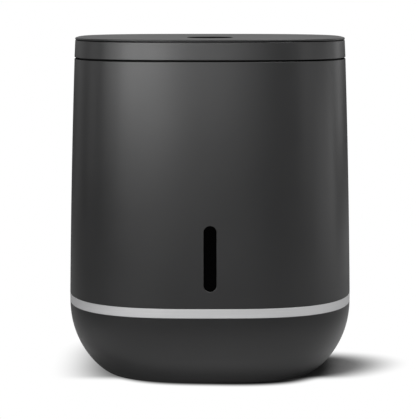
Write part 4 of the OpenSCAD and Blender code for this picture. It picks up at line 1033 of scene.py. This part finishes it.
# The other CAD nodes keep their shape and get their finish, and the hard ones get rounded edges
EDGE_WIDTHS = {
    "breaker_bars": 1.0, "heater_plate": 0.8, "deck_collar": 0.4, "lid_tray": 0.4,
    "lid_gasket": 0.8, "bucket_seal": 0.4, "filter_cassette": 0.3, "hinge_leaf": 0.25,
    "hinge_bracket": 0.25, "inlet_pins": 0.25, "carbon_block": 0.8,
}
SLOTS = {part["node"]: part["material_slot"] for part in frame["record"]["subparts"]}
for name, made in frame["nodes"].items():
    for material_slot in made.material_slots:
        material_slot.material = FINISHES[SLOTS[name]]
    if name in EDGE_WIDTHS:
        round_edges(made, EDGE_WIDTHS[name])


# Painted shade: the tray's upright faces near its rim are black, so that what shows through the
# seam is dark
def on_tray_rim(at, normal):
    reach = abs(at.x) ** CORNER_POWER + abs(at.y) ** CORNER_POWER
    return abs(normal.z) < 0.5 and reach > TRAY_RIM_REACH**CORNER_POWER


second_finish(frame["nodes"]["lid_tray"], "black_plastic", on_tray_rim)

# ---- Studio: pale floor, soft lights and the camera, in metres ----

WHITE = (1.0, 1.0, 1.0, 1.0)
# How much of the white surroundings shows in gloss, and the even light that they give
MIRRORED_WORLD = 0.35
MIRRORED_FLOOR = 0.03
WORLD_LIGHT = 0.06

FLOOR_EDGE = 40.0
# The floor shows a painted shadow shape: the matte patch near the machine, where the lamps' real
# shadow falls, has an outline drawn by position, and the floor is pure white farther out. Each pair
# is where the white begins and where it
# is full: at the left and in front by the distance from the machine's middle, and at the right by
# the shares of an ellipse drawn for the long shadow there.
WHITE_LEFT = (0.086, 0.168)
WHITE_FRONT = (0.104, 0.121)
FRONT_SKEW = -0.06
WHITE_RIGHT = (0.58, 1.02)
SHADOW_MIDDLE = (0.06, -0.05)
SHADOW_HALF = (0.15, 0.085)
SHADOW_SLANT = -0.2
# Where along X the left gives way to the right, and along Y the sides to the front
LEFT_TO_RIGHT = (-0.04, 0.06)
SIDES_TO_FRONT = (-0.07, -0.095)
# Light that the shadow never goes below, and the painted contact shadow: the matte floor's colour,
# darker where it sees less sky
FLOOR_LIFT = 0.004
CONTACT_REACH = 0.12
PAINTED_CONTACT_SHADE = (0.25, 0.9, 0.05, 0.34)
# The floor's colour for the light that it throws up, by distance: near, darkened under the machine
# as painted shade, far, and at the right
TABLE_NEAR = (0.105, 0.15, 0.15, 1.0)
TABLE_FAR = (0.2, 0.4, 0.72, 0.26)
TABLE_RIGHT = (0.3, 0.6)
TABLE_RIGHT_SHADE = 0.6


def white_share(tree, gloss_share):
    """1 for what the camera sees directly or through glass, and a share of it for gloss."""
    path = add(tree, "LightPath").outputs
    direct = maths(tree, "MAXIMUM", path["Is Camera Ray"], path["Is Transmission Ray"])
    glossy = maths(tree, "MULTIPLY", path["Is Glossy Ray"], gloss_share)
    return maths(tree, "MAXIMUM", direct, glossy)


def fade(tree, value, start, end):
    """0 up to start and 1 from end on, with soft ends."""
    return add(tree, "MapRange", {"Value": value, "From Min": start, "From Max": end},
               interpolation_type="SMOOTHSTEP").outputs[0]


def blend(tree, share, a, b):
    return add(tree, "Mix", {0: share, 2: a, 3: b}).outputs[0]


def power_distance(tree, parts, power):
    """Distance from zero whose lines of equal value are circles or, above 2, rounded squares."""
    a, b = (maths(tree, "POWER", maths(tree, "ABSOLUTE", part), power) for part in parts)
    return maths(tree, "POWER", maths(tree, "ADD", a, b), 1 / power)


def floor_whiteness(tree, x, y, reach):
    """0 inside the drawn patch that shows the shadow round the machine's foot, a painted shadow
    shape, 1 where the floor is pure white.
    """
    left = fade(tree, reach, *WHITE_LEFT)
    slanted = maths(tree, "MULTIPLY_ADD", x, SHADOW_SLANT,
                    maths(tree, "SUBTRACT", y, SHADOW_MIDDLE[1]))
    along = maths(tree, "DIVIDE", maths(tree, "SUBTRACT", x, SHADOW_MIDDLE[0]), SHADOW_HALF[0])
    across = maths(tree, "DIVIDE", slanted, SHADOW_HALF[1])
    right = fade(tree, power_distance(tree, (along, across), 2.0), *WHITE_RIGHT)
    front = fade(tree, maths(tree, "MULTIPLY_ADD", x, FRONT_SKEW, reach), *WHITE_FRONT)
    sides = blend(tree, fade(tree, x, *LEFT_TO_RIGHT), left, right)
    return blend(tree, fade(tree, y, *SIDES_TO_FRONT), sides, front)


def floor_table(tree, x, reach):
    """How pale the floor is for the light that it throws on the machine; near the machine it is
    darkened as painted shade.
    """
    table = maths(tree, "MULTIPLY", remap(tree, reach, *TABLE_FAR), remap(tree, reach, *TABLE_NEAR))
    right = maths(tree, "MULTIPLY", fade(tree, x, *TABLE_RIGHT), TABLE_RIGHT_SHADE)
    return maths(tree, "MAXIMUM", table, right)


def floor_finish():
    """White round a matte patch, drawn by position as a painted shadow shape, that shows the
    machine's shadow darkened by a painted contact shadow, and clear from below.
    """
    made, tree = new_finish("studio_floor")[:2]
    tree.nodes.clear()
    spot = add(tree, "NewGeometry").outputs
    x, y = list(add(tree, "SeparateXYZ", {0: spot["Position"]}).outputs)[:2]
    reach = power_distance(tree, (x, y), 3.0)
    # Painted contact shadow: the floor's colour darkens with ambient occlusion
    sky = add(tree, "AmbientOcclusion", {"Distance": CONTACT_REACH}, samples=8).outputs["AO"]
    shade = remap(tree, sky, *PAINTED_CONTACT_SHADE)
    glow = add(tree, "Emission", {"Color": WHITE, "Strength": 1.0}).outputs[0]
    lift = add(tree, "Emission", {"Color": WHITE, "Strength": FLOOR_LIFT}).outputs[0]
    shadowed = add(tree, "BsdfDiffuse", {"Color": shade}).outputs[0]
    near = add(tree, "AddShader", {0: shadowed, 1: lift}).outputs[0]
    seen = add(tree, "MixShader", {0: floor_whiteness(tree, x, y, reach), 1: near, 2: glow})
    matte = add(tree, "BsdfDiffuse", {"Color": floor_table(tree, x, reach)})
    above = add(tree, "MixShader", {0: white_share(tree, MIRRORED_FLOOR), 1: matte.outputs[0],
                                    2: seen.outputs[0]})
    lamp_ray = add(tree, "LightPath").outputs["Is Shadow Ray"]
    below = maths(tree, "MAXIMUM", spot["Backfacing"], lamp_ray)
    clear = add(tree, "BsdfTransparent").outputs[0]
    final = add(tree, "MixShader", {0: below, 1: above.outputs[0], 2: clear})
    add(tree, "OutputMaterial", {"Surface": final.outputs[0]})
    return made


def studio_floor():
    """White floor with the shadow at the machine's foot, in a painted shadow shape."""
    mesh = bpy.data.meshes.new("studio_floor")
    mesh.from_pydata(level(four(FLOOR_EDGE, FLOOR_EDGE), 0), [], [(0, 1, 2, 3)])
    mesh.materials.append(floor_finish())
    floor = new_object("studio_floor", mesh)


def studio_world():
    """White surroundings for what the camera sees, and a dim even light on the machine."""
    world = bpy.data.worlds.new("studio")
    world.use_nodes = True
    tree = world.node_tree
    background = tree.nodes["Background"].inputs
    feed(tree, background["Color"], WHITE)
    feed(tree, background["Strength"],
         remap(tree, white_share(tree, MIRRORED_WORLD), 0.0, 1.0, WORLD_LIGHT, 1.0))
    bpy.context.scene.world = world


# Height on the machine that the lights point at
LIGHT_AIM = 0.22
# Distance, height and panel size of the row of key lights at the front left
KEY_ROW = (1.1, 0.42, (0.4, 0.3))
# Azimuth from the front and positive to the right, distance, height, panel size and power
PANELS = {
    "key_far_left": (-65, *KEY_ROW, 0.73),
    "key_left": (-53, *KEY_ROW, 0.52),
    "key_middle_left": (-41, *KEY_ROW, 1.67),
    "key_middle": (-29, *KEY_ROW, 1.01),
    "key_middle_right": (-17, *KEY_ROW, 1.67),
    "key_right": (-5, *KEY_ROW, 0.65),
    "key_far_right": (10, *KEY_ROW, 0.29),
    "side_right_front": (60, 1.3, 0.45, (0.4, 0.6), 0.62),
    "side_right": (80, 1.3, 0.2, (0.4, 0.35), 0.45),
    "rim_right": (100, 1.3, 0.2, (0.4, 0.35), 0.5),
    "rim_right_back": (125, 1.3, 0.4, (0.4, 0.5), 0.5),
    "rim_left": (-95, 1.3, 0.4, (0.4, 0.5), 0.39),
    "rim_left_back": (-130, 1.3, 0.25, (0.4, 0.4), 0.09),
    "top_front": (0, 0.9, 1.5, (0.8, 0.8), 7.0),
    "top_back": (180, 1.0, 1.5, (0.8, 0.8), 3.0),
    "top_right": (73, 1.05, 1.5, (0.8, 0.8), 2.3),
    "underside": (0, 0.1, -0.9, (0.6, 0.6), 2.2),
    "top_right_front": (50, 0.8, 1.5, (0.5, 0.5), 14.0),
    "back": (180, 1.2, 0.2, (0.24, 0.26), 3.5),
}


def soft_light(name, azimuth, distance, height, size, power):
    """Soft rectangular panel that is turned to the machine."""
    lamp = bpy.data.lights.new(name, "AREA")
    lamp.shape = "RECTANGLE"
    lamp.size, lamp.size_y = size
    lamp.energy = power
    turn = math.radians(azimuth)
    made = new_object(name, lamp)
    made.location = (distance * math.sin(turn), -distance * math.cos(turn), height)
    aim = Vector((0, 0, LIGHT_AIM)) - made.location
    made.rotation_euler = aim.to_track_quat("-Z", "Y").to_euler()


# Place, dip below the level in degrees, focal length and sensor width in millimetres
CAMERA_PLACE = (-0.0005, -1.706, 0.3799)
CAMERA_DIP = 7.293
FOCAL_LENGTH = 140.9
SENSOR_WIDTH = 36


def camera():
    lens = bpy.data.cameras.new("camera")
    lens.sensor_width = SENSOR_WIDTH
    lens.lens = FOCAL_LENGTH
    lens.clip_end = 200
    made = new_object("camera", lens)
    made.location = CAMERA_PLACE
    made.rotation_euler = (math.radians(90 - CAMERA_DIP), 0, 0)
    bpy.context.scene.camera = made


studio_floor()
studio_world()
for name, setting in PANELS.items():
    soft_light(name, *setting)
camera()
bpy.context.scene.view_settings.view_transform = "Standard"
